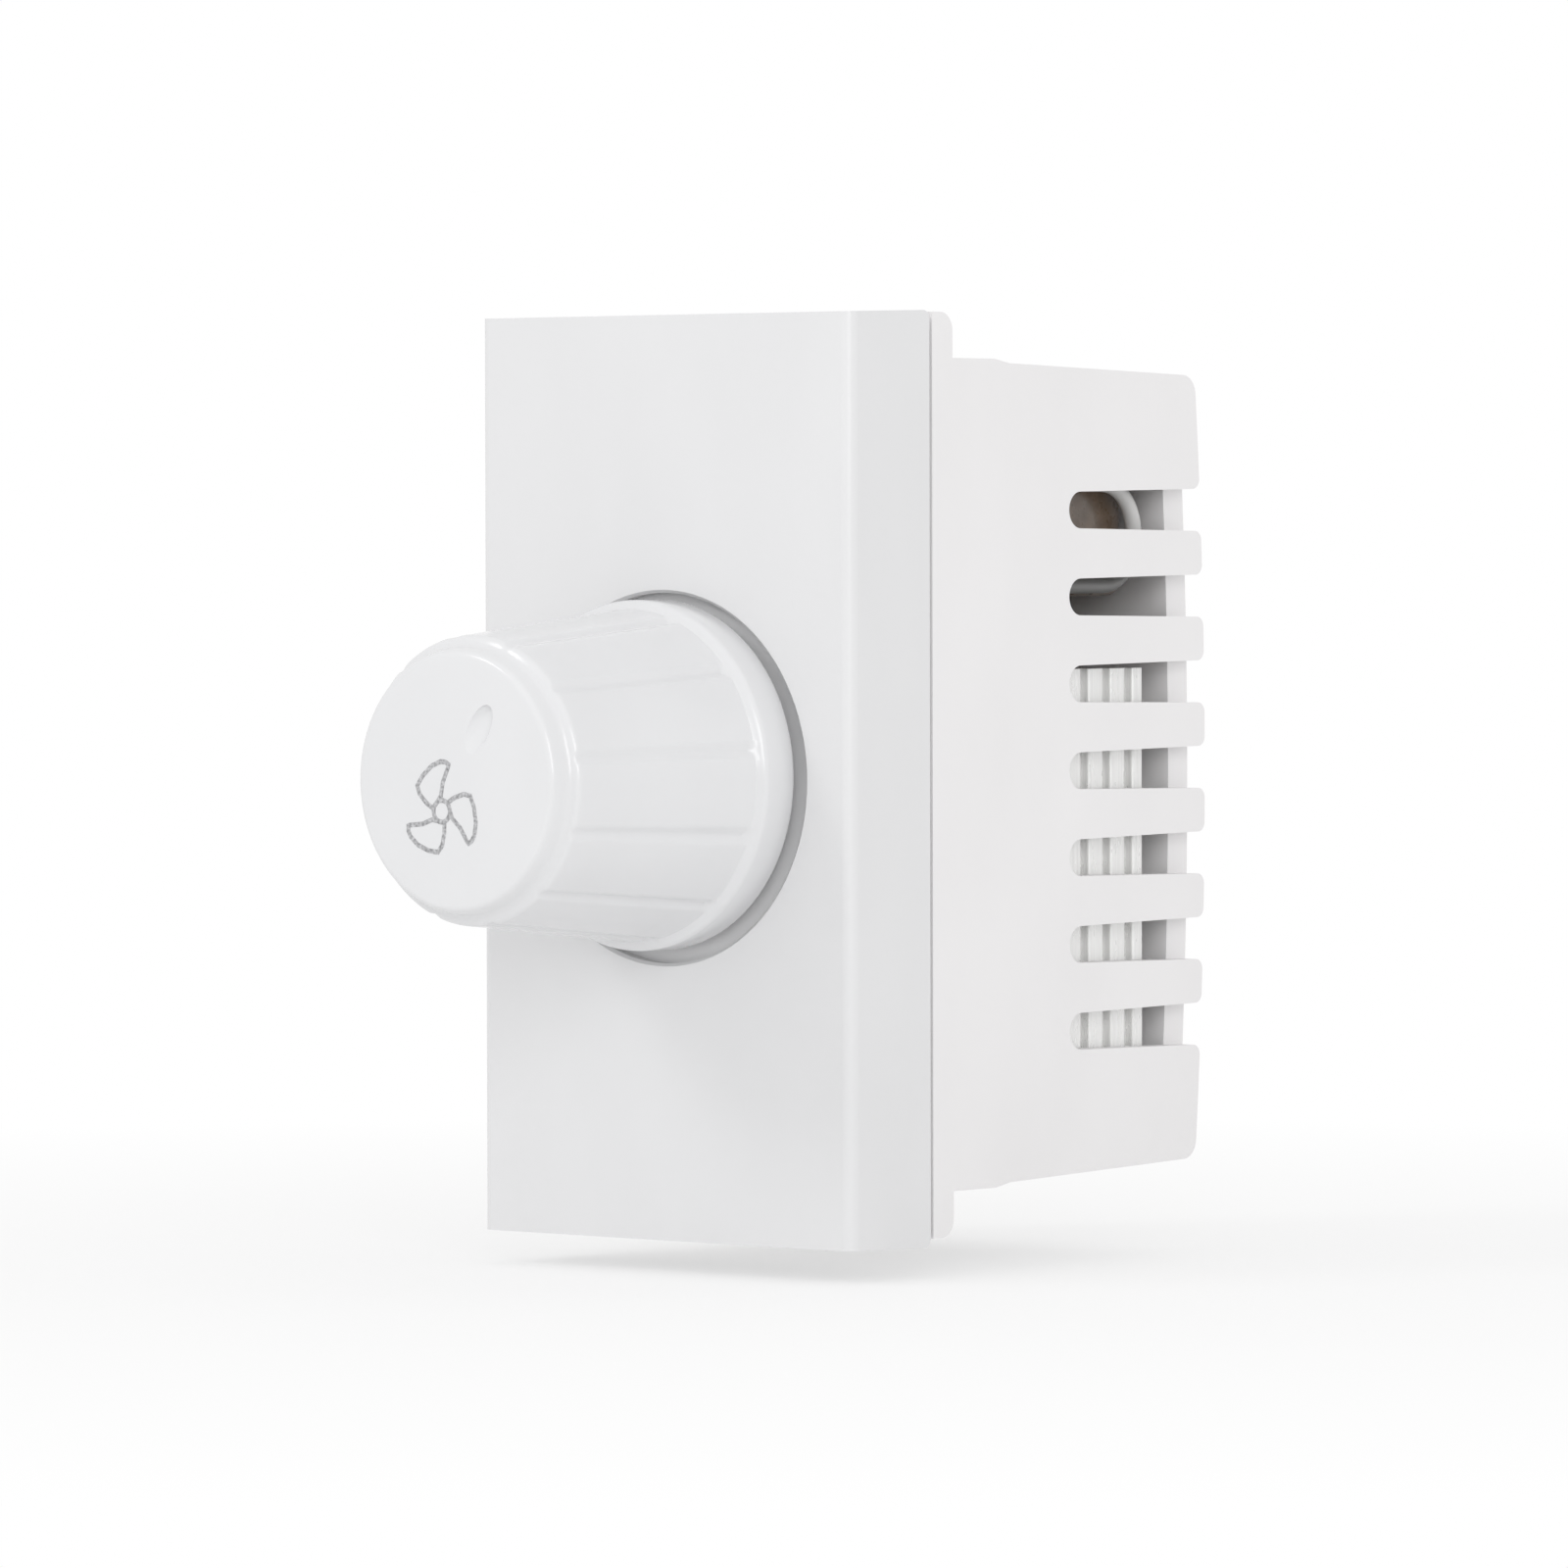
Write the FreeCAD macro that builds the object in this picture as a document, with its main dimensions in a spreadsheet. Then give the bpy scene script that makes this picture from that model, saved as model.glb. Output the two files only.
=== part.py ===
import FreeCAD, Part
import math
import os
from types import SimpleNamespace

import Sketcher

# Fan speed control switch: a rotary wall module that snaps into a support frame.
# Frame: +X right and +Z up as seen from the front, +Y into the wall. The origin is on the
# knob's axis, in the plane of the flange's rear face, which seats on the support frame.

Vector = FreeCAD.Vector
DOC = FreeCAD.newDocument("fan_speed_control")

SIZES = {
    # front plate
    "module_width": 23.6,
    "face_height": 44.7,
    "plate_flare": 0.15,
    "plate_depth": 6.15,
    "plate_drop": 0.17,
    "plate_skirt": 1.5,
    "plate_front": 2.0,
    "face_side_radius": 0.6,
    "rim_gap": 0.2,
    "rim_end_radius": 0.45,
    "well_radius": 8.95,
    "well_depth": 0.7,
    "well_floor": 2.5,
    "well_rim": 1.9,
    "well_chamfer": 0.15,
    # snap legs and board pillars on the plate's back
    "leg_place": 5.0,
    "leg_width": 4.0,
    "leg_thickness": 1.0,
    "leg_clearance": 0.45,
    "barb_height": 0.5,
    "barb_start": 1.4,
    "barb_length": 1.2,
    "latch_clearance": 0.1,
    "pillar_size": 1.8,
    "pillar_inset": 3.3,
    "pillar_drop": 1.6,
    # rear housing
    "flange_thickness": 1.55,
    "flange_inset": 0.25,
    "flange_lip": 2.2,
    "flange_edge_radius": 0.9,
    "housing_depth": 19.8,
    "rear_bulge": 0.8,
    "rear_edge_radius": 1.0,
    "pad_step": 0.2,
    "body_draft": 0.45,
    "pad_length": 3.25,
    "ramp_length": 1.1,
    "side_wall": 1.1,
    "end_wall": 1.2,
    "rear_wall": 1.55,
    "post_size": 1.9,
    "post_overlap": 1.2,
    # side vents, open to the rear
    "vent_count": 7,
    "vent_spacing": 4.25,
    "vent_start": 9.0,
    "vent_front_height": 1.8,
    "vent_rear_height": 2.15,
    "tooth_radius": 0.5,
    # knob
    "knob_projection": 15.0,
    "knob_lift": 0.1,
    "collar_radius": 8.3,
    "collar_length": 2.1,
    "grip_rear_radius": 8.0,
    "grip_front_radius": 6.95,
    "shoulder": 1.05,
    "knob_wall": 1.2,
    "knob_front_wall": 1.8,
    "boss_radius": 4.5,
    "rib_thickness": 1.0,
    "rib_length": 4.0,
    "flute_count": 12,
    "flute_width": 0.5,
    "flute_depth": 0.22,
    "flute_end_depth": 0.12,
    "flute_end_gap": 0.1,
    "flute_turn": 20.3,
    "pointer_distance": 3.1,
    "pointer_angle": 58.0,
    "pointer_length": 2.8,
    "pointer_width": 1.2,
    "pointer_depth": 0.3,
    # potentiometer
    "shaft_radius": 3.0,
    "shaft_flat": 1.5,
    "shaft_tip_gap": 0.3,
    "running_clearance": 0.05,
    "bushing_radius": 3.5,
    "bushing_length": 4.9,
    "bushing_clearance": 0.1,
    "mounting_plate": 1.0,
    "washer_radius": 6.0,
    "washer_thickness": 0.4,
    "nut_width": 10.0,
    "nut_thickness": 1.5,
    "clip_radius": 4.0,
    "clip_thickness": 0.6,
    "clip_groove_radius": 2.4,
    "clip_gap": 2.4,
    "pot_radius": 8.3,
    "pot_depth": 7.1,
    "can_wall": 0.5,
    "wafer_thickness": 1.2,
    "wafer_hole_radius": 4.7,
    "tongue_width": 12.0,
    "tongue_height": 13.4,
    "thrust_radius": 4.2,
    "spigot_radius": 2.4,
    "rotor_radius": 6.8,
    "rotor_thickness": 1.6,
    "wiper_thickness": 0.25,
    "wiper_gap": 0.1,
    "wiper_inner_radius": 4.9,
    "wiper_angle": 70.0,
    "pin_spacing": 4.0,
    "pin_place": 12.5,
    "pin_width": 1.0,
    "pin_thickness": 0.4,
    # circuit board and what all its parts share
    "board_gap": 1.5,
    "board_thickness": 1.6,
    "board_clearance": 0.3,
    "lead_tail": 0.8,
    "lead_width": 0.5,
    "lead_hole_clearance": 0.1,
    "wall_gap": 0.6,
    "part_gap": 0.5,
    # heat sink and triac
    "sink_clearance": 0.12,
    "sink_depth": 3.7,
    "sink_base": 3.0,
    "sink_rear_gap": 1.05,
    "sink_top": 4.95,
    "sink_length": 19.4,
    "fin_spacing": 1.745,
    "fin_thickness": 1.15,
    "end_fin_thickness": 0.82,
    "triac_width": 7.8,
    "triac_thickness": 2.8,
    "triac_lift": 0.5,
    "triac_rear_gap": 0.35,
    "triac_lead_spacing": 2.3,
    "triac_lead_width": 0.7,
    "triac_hole_drop": 3.8,
    "screw_radius": 1.45,
    "screw_clearance": 0.1,
    "screw_head_radius": 2.7,
    "screw_head_height": 1.9,
    # capacitors
    "timing_wall_gap": 1.75,
    "timing_thickness": 4.8,
    "timing_drop": 3.5,
    "timing_width": 6.2,
    "timing_lift": 1.0,
    "timing_rear_gap": 0.95,
    "timing_round": 1.7,
    "timing_lead_spacing": 4.0,
    "suppression_thickness": 5.0,
    "suppression_length": 10.5,
    "suppression_rear_gap": 1.9,
    "suppression_round": 0.5,
    "suppression_lead_spacing": 7.5,
    # choke
    "choke_radius": 4.2,
    "choke_core_radius": 2.2,
    "choke_winding_radius": 3.7,
    "choke_flange": 1.2,
    "choke_height": 9.0,
    "choke_lead_place": 3.2,
    # axial parts
    "resistor_radius": 1.1,
    "resistor_length": 6.3,
    "resistor_span": 8.4,
    "resistor_spacing": 2.7,
    "resistor_drop": 1.4,
    "diac_radius": 0.95,
    "diac_length": 4.0,
    "diac_span": 7.2,
    "fuse_radius": 1.25,
    "fuse_length": 7.0,
    "fuse_span": 9.4,
    "fuse_drop": 2.6,
    "fuse_lift": 1.2,
    "axial_lift": 0.15,
    # jumper wire
    "jumper_radius": 0.4,
    "jumper_wall_gap": 0.95,
    "jumper_bend": 2.5,
    "jumper_drop": 6.66,
    "jumper_rear_gap": 0.75,
    # terminals
    "terminal_spacing": 5.0,
    "terminal_rear_gap": 1.55,
    "terminal_end_gap": 0.1,
    "terminal_depth": 7.8,
    "pillar_width": 4.0,
    "pillar_length": 5.0,
    "pillar_entry": 2.0,
    "pillar_height": 6.4,
    "pillar_roof": 1.5,
    "pillar_clearance": 0.05,
    "wire_radius": 1.5,
    "wire_drop": 3.4,
    "wire_entry_radius": 1.8,
    "clamp_radius": 1.3,
    "clamp_head_radius": 1.8,
    "clamp_head_height": 1.1,
    "clamp_clearance": 0.1,
    "clamp_slot": 0.5,
    "window_margin": 0.6,
    "driver_hole_radius": 2.0,
}

SHEET = DOC.addObject("Spreadsheet::Sheet", "dims")
for row, (alias, number) in enumerate(SIZES.items(), start=1):
    SHEET.set(f"A{row}", alias)
    SHEET.set(f"B{row}", str(number))
    SHEET.setAlias(f"B{row}", alias)
DOC.recompute()


class Size:
    """A length that carries its number and the sheet expression behind it."""

    def __init__(self, number, text):
        self.number = number
        self.text = text

    def __add__(self, other):
        other = as_size(other)
        return Size(self.number + other.number, f"({self.text} + {other.text})")

    def __sub__(self, other):
        other = as_size(other)
        return Size(self.number - other.number, f"({self.text} - {other.text})")

    def __mul__(self, other):
        other = as_size(other)
        return Size(self.number * other.number, f"({self.text} * {other.text})")

    def __truediv__(self, other):
        other = as_size(other)
        return Size(self.number / other.number, f"({self.text} / {other.text})")

    def __neg__(self):
        return Size(-self.number, f"(-1 * {self.text})")


def as_size(value):
    if isinstance(value, Size):
        return value
    return Size(float(value), f"({float(value):g})")


def square_root(value):
    return Size(math.sqrt(value.number), f"sqrt({value.text})")


D = SimpleNamespace(**{alias: Size(number, f"dims.{alias}") for alias, number in SIZES.items()})

# Planes across the depth, from the plate's face back to the housing's rear wall
RIM_Y = -D.flange_thickness
FACE_Y = RIM_Y - D.plate_depth
PLATE_RIM_Y = RIM_Y - D.rim_gap
PLATE_BACK_Y = FACE_Y + D.plate_front
WELL_Y = FACE_Y + D.well_depth
POT_Y = WELL_Y + D.well_floor
TRACK_Y = POT_Y + D.mounting_plate
WAFER_REAR_Y = TRACK_Y + D.wafer_thickness
CAN_REAR_Y = POT_Y + D.pot_depth
BOARD_FRONT_Y = CAN_REAR_Y + D.board_gap
BOARD_REAR_Y = BOARD_FRONT_Y + D.board_thickness
LEAD_END_Y = BOARD_FRONT_Y - D.lead_tail
INNER_REAR_Y = D.housing_depth - D.rear_bulge - D.rear_wall

# Heights that step down from the plate's face to the housing's back
FLANGE_HEIGHT = D.face_height + (D.plate_flare - D.flange_inset) * 2
PAD_HEIGHT = FLANGE_HEIGHT - D.flange_lip * 2
BODY_FRONT_HEIGHT = PAD_HEIGHT - D.pad_step * 2
BODY_REAR_HEIGHT = BODY_FRONT_HEIGHT - D.body_draft * 2

# Half sizes of the housing's inside
INNER_X = D.module_width / 2 - D.side_wall
INNER_FRONT_Z = BODY_FRONT_HEIGHT / 2 - D.end_wall
INNER_REAR_Z = BODY_REAR_HEIGHT / 2 - D.end_wall

# Knob and shaft planes
KNOB_FRONT_Y = FACE_Y - D.knob_projection
KNOB_RIM_Y = FACE_Y - D.knob_lift
KNOB_INNER_Y = KNOB_FRONT_Y + D.knob_front_wall
COLLAR_Y = KNOB_RIM_Y - D.collar_length
BUSHING_TIP_Y = POT_Y - D.bushing_length
CLIP_REAR_Y = BUSHING_TIP_Y - D.running_clearance
CLIP_FRONT_Y = CLIP_REAR_Y - D.clip_thickness
BOSS_Y = CLIP_FRONT_Y - D.shaft_tip_gap
SHAFT_TIP_Y = KNOB_INNER_Y + D.shaft_tip_gap
ROTOR_FRONT_Y = WAFER_REAR_Y + D.wiper_gap + D.wiper_thickness
ROTOR_REAR_Y = ROTOR_FRONT_Y + D.rotor_thickness

# Heat sink, triac and terminal places
SINK_TIP_X = INNER_X - D.sink_clearance
SINK_X = SINK_TIP_X - D.sink_depth
SINK_REAR_Y = INNER_REAR_Y - D.sink_rear_gap
SINK_BOTTOM_Z = D.sink_top - D.sink_length
TRIAC_X = SINK_X - D.triac_thickness
TRIAC_Z = D.sink_top - D.sink_length / 2
TRIAC_REAR_Y = INNER_REAR_Y - D.triac_rear_gap
TRIAC_HOLE_Y = TRIAC_REAR_Y - D.triac_hole_drop
TRIAC_LEAD_X = SINK_X - D.triac_thickness / 2
LEFT_X = D.wall_gap - INNER_X
BLOCK_X = D.post_size + D.board_clearance - INNER_X
BLOCK_BOTTOM_Z = D.terminal_end_gap - INNER_REAR_Z
BLOCK_TOP_Z = BLOCK_BOTTOM_Z + D.terminal_depth
BLOCK_REAR_Y = INNER_REAR_Y - D.terminal_rear_gap
POLE_XS = [BLOCK_X + D.terminal_spacing * (place + 0.5) for place in range(2)]
PILLAR_BOTTOM_Z = BLOCK_BOTTOM_Z + D.pillar_entry
PILLAR_TOP_Z = PILLAR_BOTTOM_Z + D.pillar_length
PILLAR_Z = PILLAR_BOTTOM_Z + D.pillar_length / 2
PILLAR_REAR_Y = BLOCK_REAR_Y - D.pillar_roof
PILLAR_Y = PILLAR_REAR_Y - D.pillar_height
WIRE_Y = PILLAR_REAR_Y - D.wire_drop
TIMING_X = INNER_X - D.timing_wall_gap - D.timing_thickness / 2
TIMING_Z = INNER_REAR_Z - D.timing_drop - D.timing_width / 2
SUPPRESSION_X = LEFT_X + D.suppression_thickness / 2
SUPPRESSION_BOTTOM_Z = BLOCK_TOP_Z + D.part_gap
SUPPRESSION_TOP_Z = SUPPRESSION_BOTTOM_Z + D.suppression_length
SUPPRESSION_Z = SUPPRESSION_BOTTOM_Z + D.suppression_length / 2
CHOKE_X = LEFT_X + D.choke_radius
CHOKE_Z = SUPPRESSION_TOP_Z + D.part_gap + D.choke_radius
RESISTOR_Z = CHOKE_Z - D.resistor_drop
RESISTOR_X = CHOKE_X + D.choke_radius + D.part_gap + D.resistor_radius
DIAC_X = SUPPRESSION_X + D.suppression_thickness / 2 + D.part_gap + D.diac_radius
FUSE_X = LEFT_X + D.part_gap + D.fuse_span / 2
FUSE_Z = INNER_REAR_Z - D.fuse_drop
JUMPER_X = INNER_X - D.jumper_wall_gap
JUMPER_REAR_Y = INNER_REAR_Y - D.jumper_rear_gap
JUMPER_Z = INNER_REAR_Z - D.jumper_drop
JUMPER_LEGS_Z = [JUMPER_Z + D.jumper_bend, JUMPER_Z - D.jumper_bend]

SUBPARTS = []


def keep(label, made):
    """Name a finished sub-part."""
    made.Label = label
    SUBPARTS.append(made)
    return made


def bind(made, prop, length):
    """Set a property from the sheet."""
    made.setExpression(prop, as_size(length).text)


def body(name):
    return DOC.addObject("PartDesign::Body", f"{name}_body")


def sketch(owner, name, role, level):
    """An empty sketch parallel to one of the body's own planes."""
    made = owner.newObject("Sketcher::SketchObject", f"{owner.Name}_{name}")
    plane = next(item for item in owner.Origin.OriginFeatures if item.Role == role)
    made.AttachmentSupport = [(plane, "")]
    made.MapMode = "FlatFace"
    made.AttachmentOffset = FreeCAD.Placement(Vector(0, 0, level.number), FreeCAD.Rotation())
    bind(made, "AttachmentOffset.Base.z", level)
    return made


def facing(owner, name, y):
    """A sketch in x and z at depth y, looking at the front."""
    return sketch(owner, name, "XZ_Plane", -as_size(y))


def sideways(owner, name, x=0):
    """A sketch in y and z at x, looking at the side."""
    return sketch(owner, name, "YZ_Plane", as_size(x))


def level(owner, name, z=0):
    """A sketch in x and y at height z."""
    return sketch(owner, name, "XY_Plane", as_size(z))


def pin_point(made, piece, end, x, y):
    """Hold a point of a sketch at a place from the sheet."""
    for kind, axis, place in (("DistanceX", -2, as_size(x)), ("DistanceY", -1, as_size(y))):
        if place.text == "(0)":
            made.addConstraint(Sketcher.Constraint("PointOnObject", piece, end, axis))
            continue
        index = made.addConstraint(Sketcher.Constraint(kind, -1, 1, piece, end, place.number))
        made.setExpression(f"Constraints[{index}]", place.text)


def hold_radius(made, piece, radius):
    index = made.addConstraint(Sketcher.Constraint("Radius", piece, radius.number))
    made.setExpression(f"Constraints[{index}]", radius.text)


def arc_between(start, end, radius):
    """The short arc that runs anticlockwise from start to end."""
    chord = end - start
    rise = math.sqrt(max(radius**2 - (chord.Length / 2) ** 2, 0.0))
    left = Vector(-chord.y, chord.x, 0).normalize()
    centre = start + chord * 0.5 + left * rise
    angles = [math.atan2(point.y - centre.y, point.x - centre.x) for point in (start, end)]
    return Part.ArcOfCircle(Part.Circle(centre, Vector(0, 0, 1), radius), *angles)


def outline(made, points, arcs=None):
    """A closed outline; arcs gives the radius of a side that is an arc, negative if hollow."""
    arcs = arcs or {}
    first = made.GeometryCount
    count = len(points)
    places = [Vector(as_size(x).number, as_size(y).number, 0) for x, y in points]
    ends = []
    for side in range(count):
        start, end = places[side], places[(side + 1) % count]
        radius = arcs.get(side)
        if radius is None:
            made.addGeometry(Part.LineSegment(start, end))
        elif radius.number > 0:
            made.addGeometry(arc_between(start, end, radius.number))
        else:
            made.addGeometry(arc_between(end, start, -radius.number))
        hollow = radius is not None and radius.number < 0
        ends.append((2, 1) if hollow else (1, 2))
    for side in range(count):
        following = (side + 1) % count
        joint = (first + side, ends[side][1], first + following, ends[following][0])
        made.addConstraint(Sketcher.Constraint("Coincident", *joint))
    for side, (x, y) in enumerate(points):
        pin_point(made, first + side, ends[side][0], x, y)
        if side in arcs:
            radius = arcs[side]
            hold_radius(made, first + side, radius if radius.number > 0 else -radius)


def rectangle(made, x0, x1, y0, y1):
    outline(made, [(x0, y0), (x1, y0), (x1, y1), (x0, y1)])


def circle(made, x, y, radius):
    x, y, radius = as_size(x), as_size(y), as_size(radius)
    place = Vector(x.number, y.number, 0)
    piece = made.addGeometry(Part.Circle(place, Vector(0, 0, 1), radius.number))
    pin_point(made, piece, 3, x, y)
    hold_radius(made, piece, radius)


def pad(owner, profile, length, symmetric=False, back=False):
    """Pad a sketch along its normal, back the other way, or half to each side."""
    made = owner.newObject("PartDesign::Pad", f"{profile.Name}_pad")
    made.Profile = profile
    made.SideType = "Symmetric" if symmetric else "One side"
    made.Reversed = back
    bind(made, "Length", length)
    return made


def pocket(owner, profile, length, symmetric=False, back=False):
    """Cut a sketch against its normal, back along it, or half to each side."""
    DOC.recompute()
    before = owner.Shape.Volume
    made = owner.newObject("PartDesign::Pocket", f"{profile.Name}_cut")
    made.Profile = profile
    made.SideType = "Symmetric" if symmetric else "One side"
    made.Reversed = back
    bind(made, "Length", length)
    DOC.recompute()
    if owner.Shape.Volume >= before:
        raise RuntimeError(f"{made.Name} cuts nothing")
    return made


def revolve(owner, profile):
    """Turn a sketch of the XY plane once round the knob's axis."""
    made = owner.newObject("PartDesign::Revolution", f"{profile.Name}_turn")
    made.Profile = profile
    made.ReferenceAxis = (profile, ["V_Axis"])
    made.Angle = 360.0
    return made


def edge_feature(kind, prop, owner, name, length, wanted):
    """Work the edges of the body's last feature that the test picks."""
    DOC.recompute()
    base = owner.Tip
    edges = [f"Edge{i}" for i, edge in enumerate(base.Shape.Edges, start=1) if wanted(edge)]
    if not edges:
        raise RuntimeError(f"{name} finds no edge")
    made = owner.newObject(f"PartDesign::{kind}", f"{owner.Name}_{name}")
    made.Base = (base, edges)
    bind(made, prop, length)
    DOC.recompute()
    return made


def fillet(owner, name, radius, wanted):
    return edge_feature("Fillet", "Radius", owner, name, radius, wanted)


def chamfer(owner, name, length, wanted):
    return edge_feature("Chamfer", "Size", owner, name, length, wanted)


def close(one, other):
    return abs(one - other) < 0.01


def runs_along(edge, axis):
    """True for a straight edge that runs along one axis."""
    spread = edge.BoundBox
    lengths = {"x": spread.XLength, "y": spread.YLength, "z": spread.ZLength}
    return isinstance(edge.Curve, Part.Line) and close(lengths[axis], edge.Length)


def box(name, x, y, z):
    """A block between two places on each axis."""
    made = DOC.addObject("Part::Box", name)
    for (low, high), length, place in ((x, "Length", "x"), (y, "Width", "y"), (z, "Height", "z")):
        bind(made, length, as_size(high) - low)
        bind(made, f"Placement.Base.{place}", low)
    return made


TURNS = {
    "x": FreeCAD.Rotation(Vector(0, 1, 0), 90),
    "y": FreeCAD.Rotation(Vector(1, 0, 0), -90),
    "z": FreeCAD.Rotation(),
}


def rod(name, axis, start, end, across, radius):
    """A round bar along an axis; across gives its place on the other two, in order."""
    made = DOC.addObject("Part::Cylinder", name)
    made.Placement = FreeCAD.Placement(Vector(), TURNS[axis])
    bind(made, "Radius", radius)
    bind(made, "Height", as_size(end) - start)
    places = {axis: start, **dict(zip([a for a in "xyz" if a != axis], across))}
    for direction, place in places.items():
        bind(made, f"Placement.Base.{direction}", place)
    return made


def cut(name, base, tool):
    made = DOC.addObject("Part::Cut", name)
    made.Base = base
    made.Tool = tool
    return made


def fuse(name, pieces):
    made = DOC.addObject("Part::MultiFuse", name)
    made.Shapes = pieces
    return made


def group(name, pieces):
    """Like pieces that share one node, each its own solid."""
    made = DOC.addObject("Part::Compound", name)
    made.Links = pieces
    return made


def soften(name, base, radius, axis):
    """Round the edges of a block that run along one axis."""
    DOC.recompute()
    made = DOC.addObject("Part::Fillet", name)
    made.Base = base
    edges = [i for i, edge in enumerate(base.Shape.Edges, start=1) if runs_along(edge, axis)]
    made.Edges = [(i, radius.number, radius.number) for i in edges]
    return made


def front_plate():
    """White cap moulding: drafted skirt, round knob well, snap legs and board pillars."""
    plate = body("front_plate")
    shell = plate.newObject("PartDesign::AdditiveWedge", "plate_shell")
    half_width, half_height = D.module_width / 2, D.face_height / 2
    bind(shell, "Ymin", FACE_Y)
    bind(shell, "Ymax", PLATE_RIM_Y)
    rim_half_height = half_height + D.plate_flare
    for axis, half, rim_half in (("X", half_width, half_width), ("Z", half_height, rim_half_height)):
        bind(shell, f"{axis}min", -half)
        bind(shell, f"{axis}max", half)
        bind(shell, f"{axis}2min", -rim_half)
        bind(shell, f"{axis}2max", rim_half)
    for name, plane, radius, axis in (
        ("face_sides", FACE_Y, D.face_side_radius, "Z"),
        ("rim_ends", PLATE_RIM_Y, D.rim_end_radius, "X"),
    ):

        def on_edge(edge):
            box = edge.BoundBox
            flat = close(box.YMin, plane.number) and close(box.YMax, plane.number)
            return flat and getattr(box, f"{axis}Length") > D.module_width.number / 2

        fillet(plate, name, radius, on_edge)

    hollow = facing(plate, "hollow", PLATE_RIM_Y)
    inside_x, inside_z = half_width - D.plate_skirt, rim_half_height - D.plate_skirt
    rectangle(hollow, -inside_x, inside_x, -inside_z, inside_z)
    pocket(plate, hollow, PLATE_RIM_Y - PLATE_BACK_Y, back=True)

    surround = facing(plate, "well_surround", PLATE_BACK_Y)
    circle(surround, 0, 0, D.well_radius + D.well_rim)
    pad(plate, surround, D.well_depth + D.well_floor - D.plate_front, back=True)
    well = facing(plate, "well", FACE_Y)
    circle(well, 0, 0, D.well_radius)
    pocket(plate, well, D.well_depth)
    hole = facing(plate, "bushing_hole", FACE_Y)
    circle(hole, 0, 0, D.bushing_radius + D.bushing_clearance + D.plate_drop)
    pocket(plate, hole, D.well_depth + D.well_floor + D.plate_front)

    pillars = facing(plate, "pillars", PLATE_BACK_Y)
    outer_x, outer_z = INNER_X - D.pillar_inset, INNER_REAR_Z - D.pillar_drop
    for left in (-1, 1):
        for low in (-1, 1):
            xs = sorted((outer_x * left, (outer_x - D.pillar_size) * left), key=lambda s: s.number)
            zs = sorted((outer_z * low, (outer_z - D.pillar_size) * low), key=lambda s: s.number)
            rectangle(pillars, *xs, *zs)
    pad(plate, pillars, BOARD_FRONT_Y - PLATE_BACK_Y, back=True)

    leg_z = INNER_FRONT_Z - D.leg_clearance
    barb_end = D.barb_start + D.barb_length
    legs = facing(plate, "legs", PLATE_BACK_Y)
    for place in (D.leg_place, -D.leg_place):
        ends = (place - D.leg_width / 2, place + D.leg_width / 2)
        rectangle(legs, *ends, leg_z - D.leg_thickness, leg_z)
        rectangle(legs, *ends, -leg_z, D.leg_thickness - leg_z)
    pad(plate, legs, barb_end - PLATE_BACK_Y, back=True)
    for side, place in (("right", D.leg_place), ("left", -D.leg_place)):
        barbs = sideways(plate, f"{side}_barbs", place)
        tip = leg_z + D.barb_height
        outline(barbs, [(D.barb_start, leg_z), (barb_end, leg_z), (D.barb_start, tip)])
        outline(barbs, [(D.barb_start, -leg_z), (D.barb_start, -tip), (barb_end, -leg_z)])
        pad(plate, barbs, D.leg_width, symmetric=True)

    def well_edge(edge):
        at_face = close(edge.BoundBox.YMax, FACE_Y.number) and close(edge.BoundBox.YLength, 0)
        return at_face and isinstance(edge.Curve, Part.Circle)

    chamfer(plate, "well_edge", D.well_chamfer, well_edge)
    bind(plate, "Placement.Base.z", -D.plate_drop)
    return plate


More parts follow.
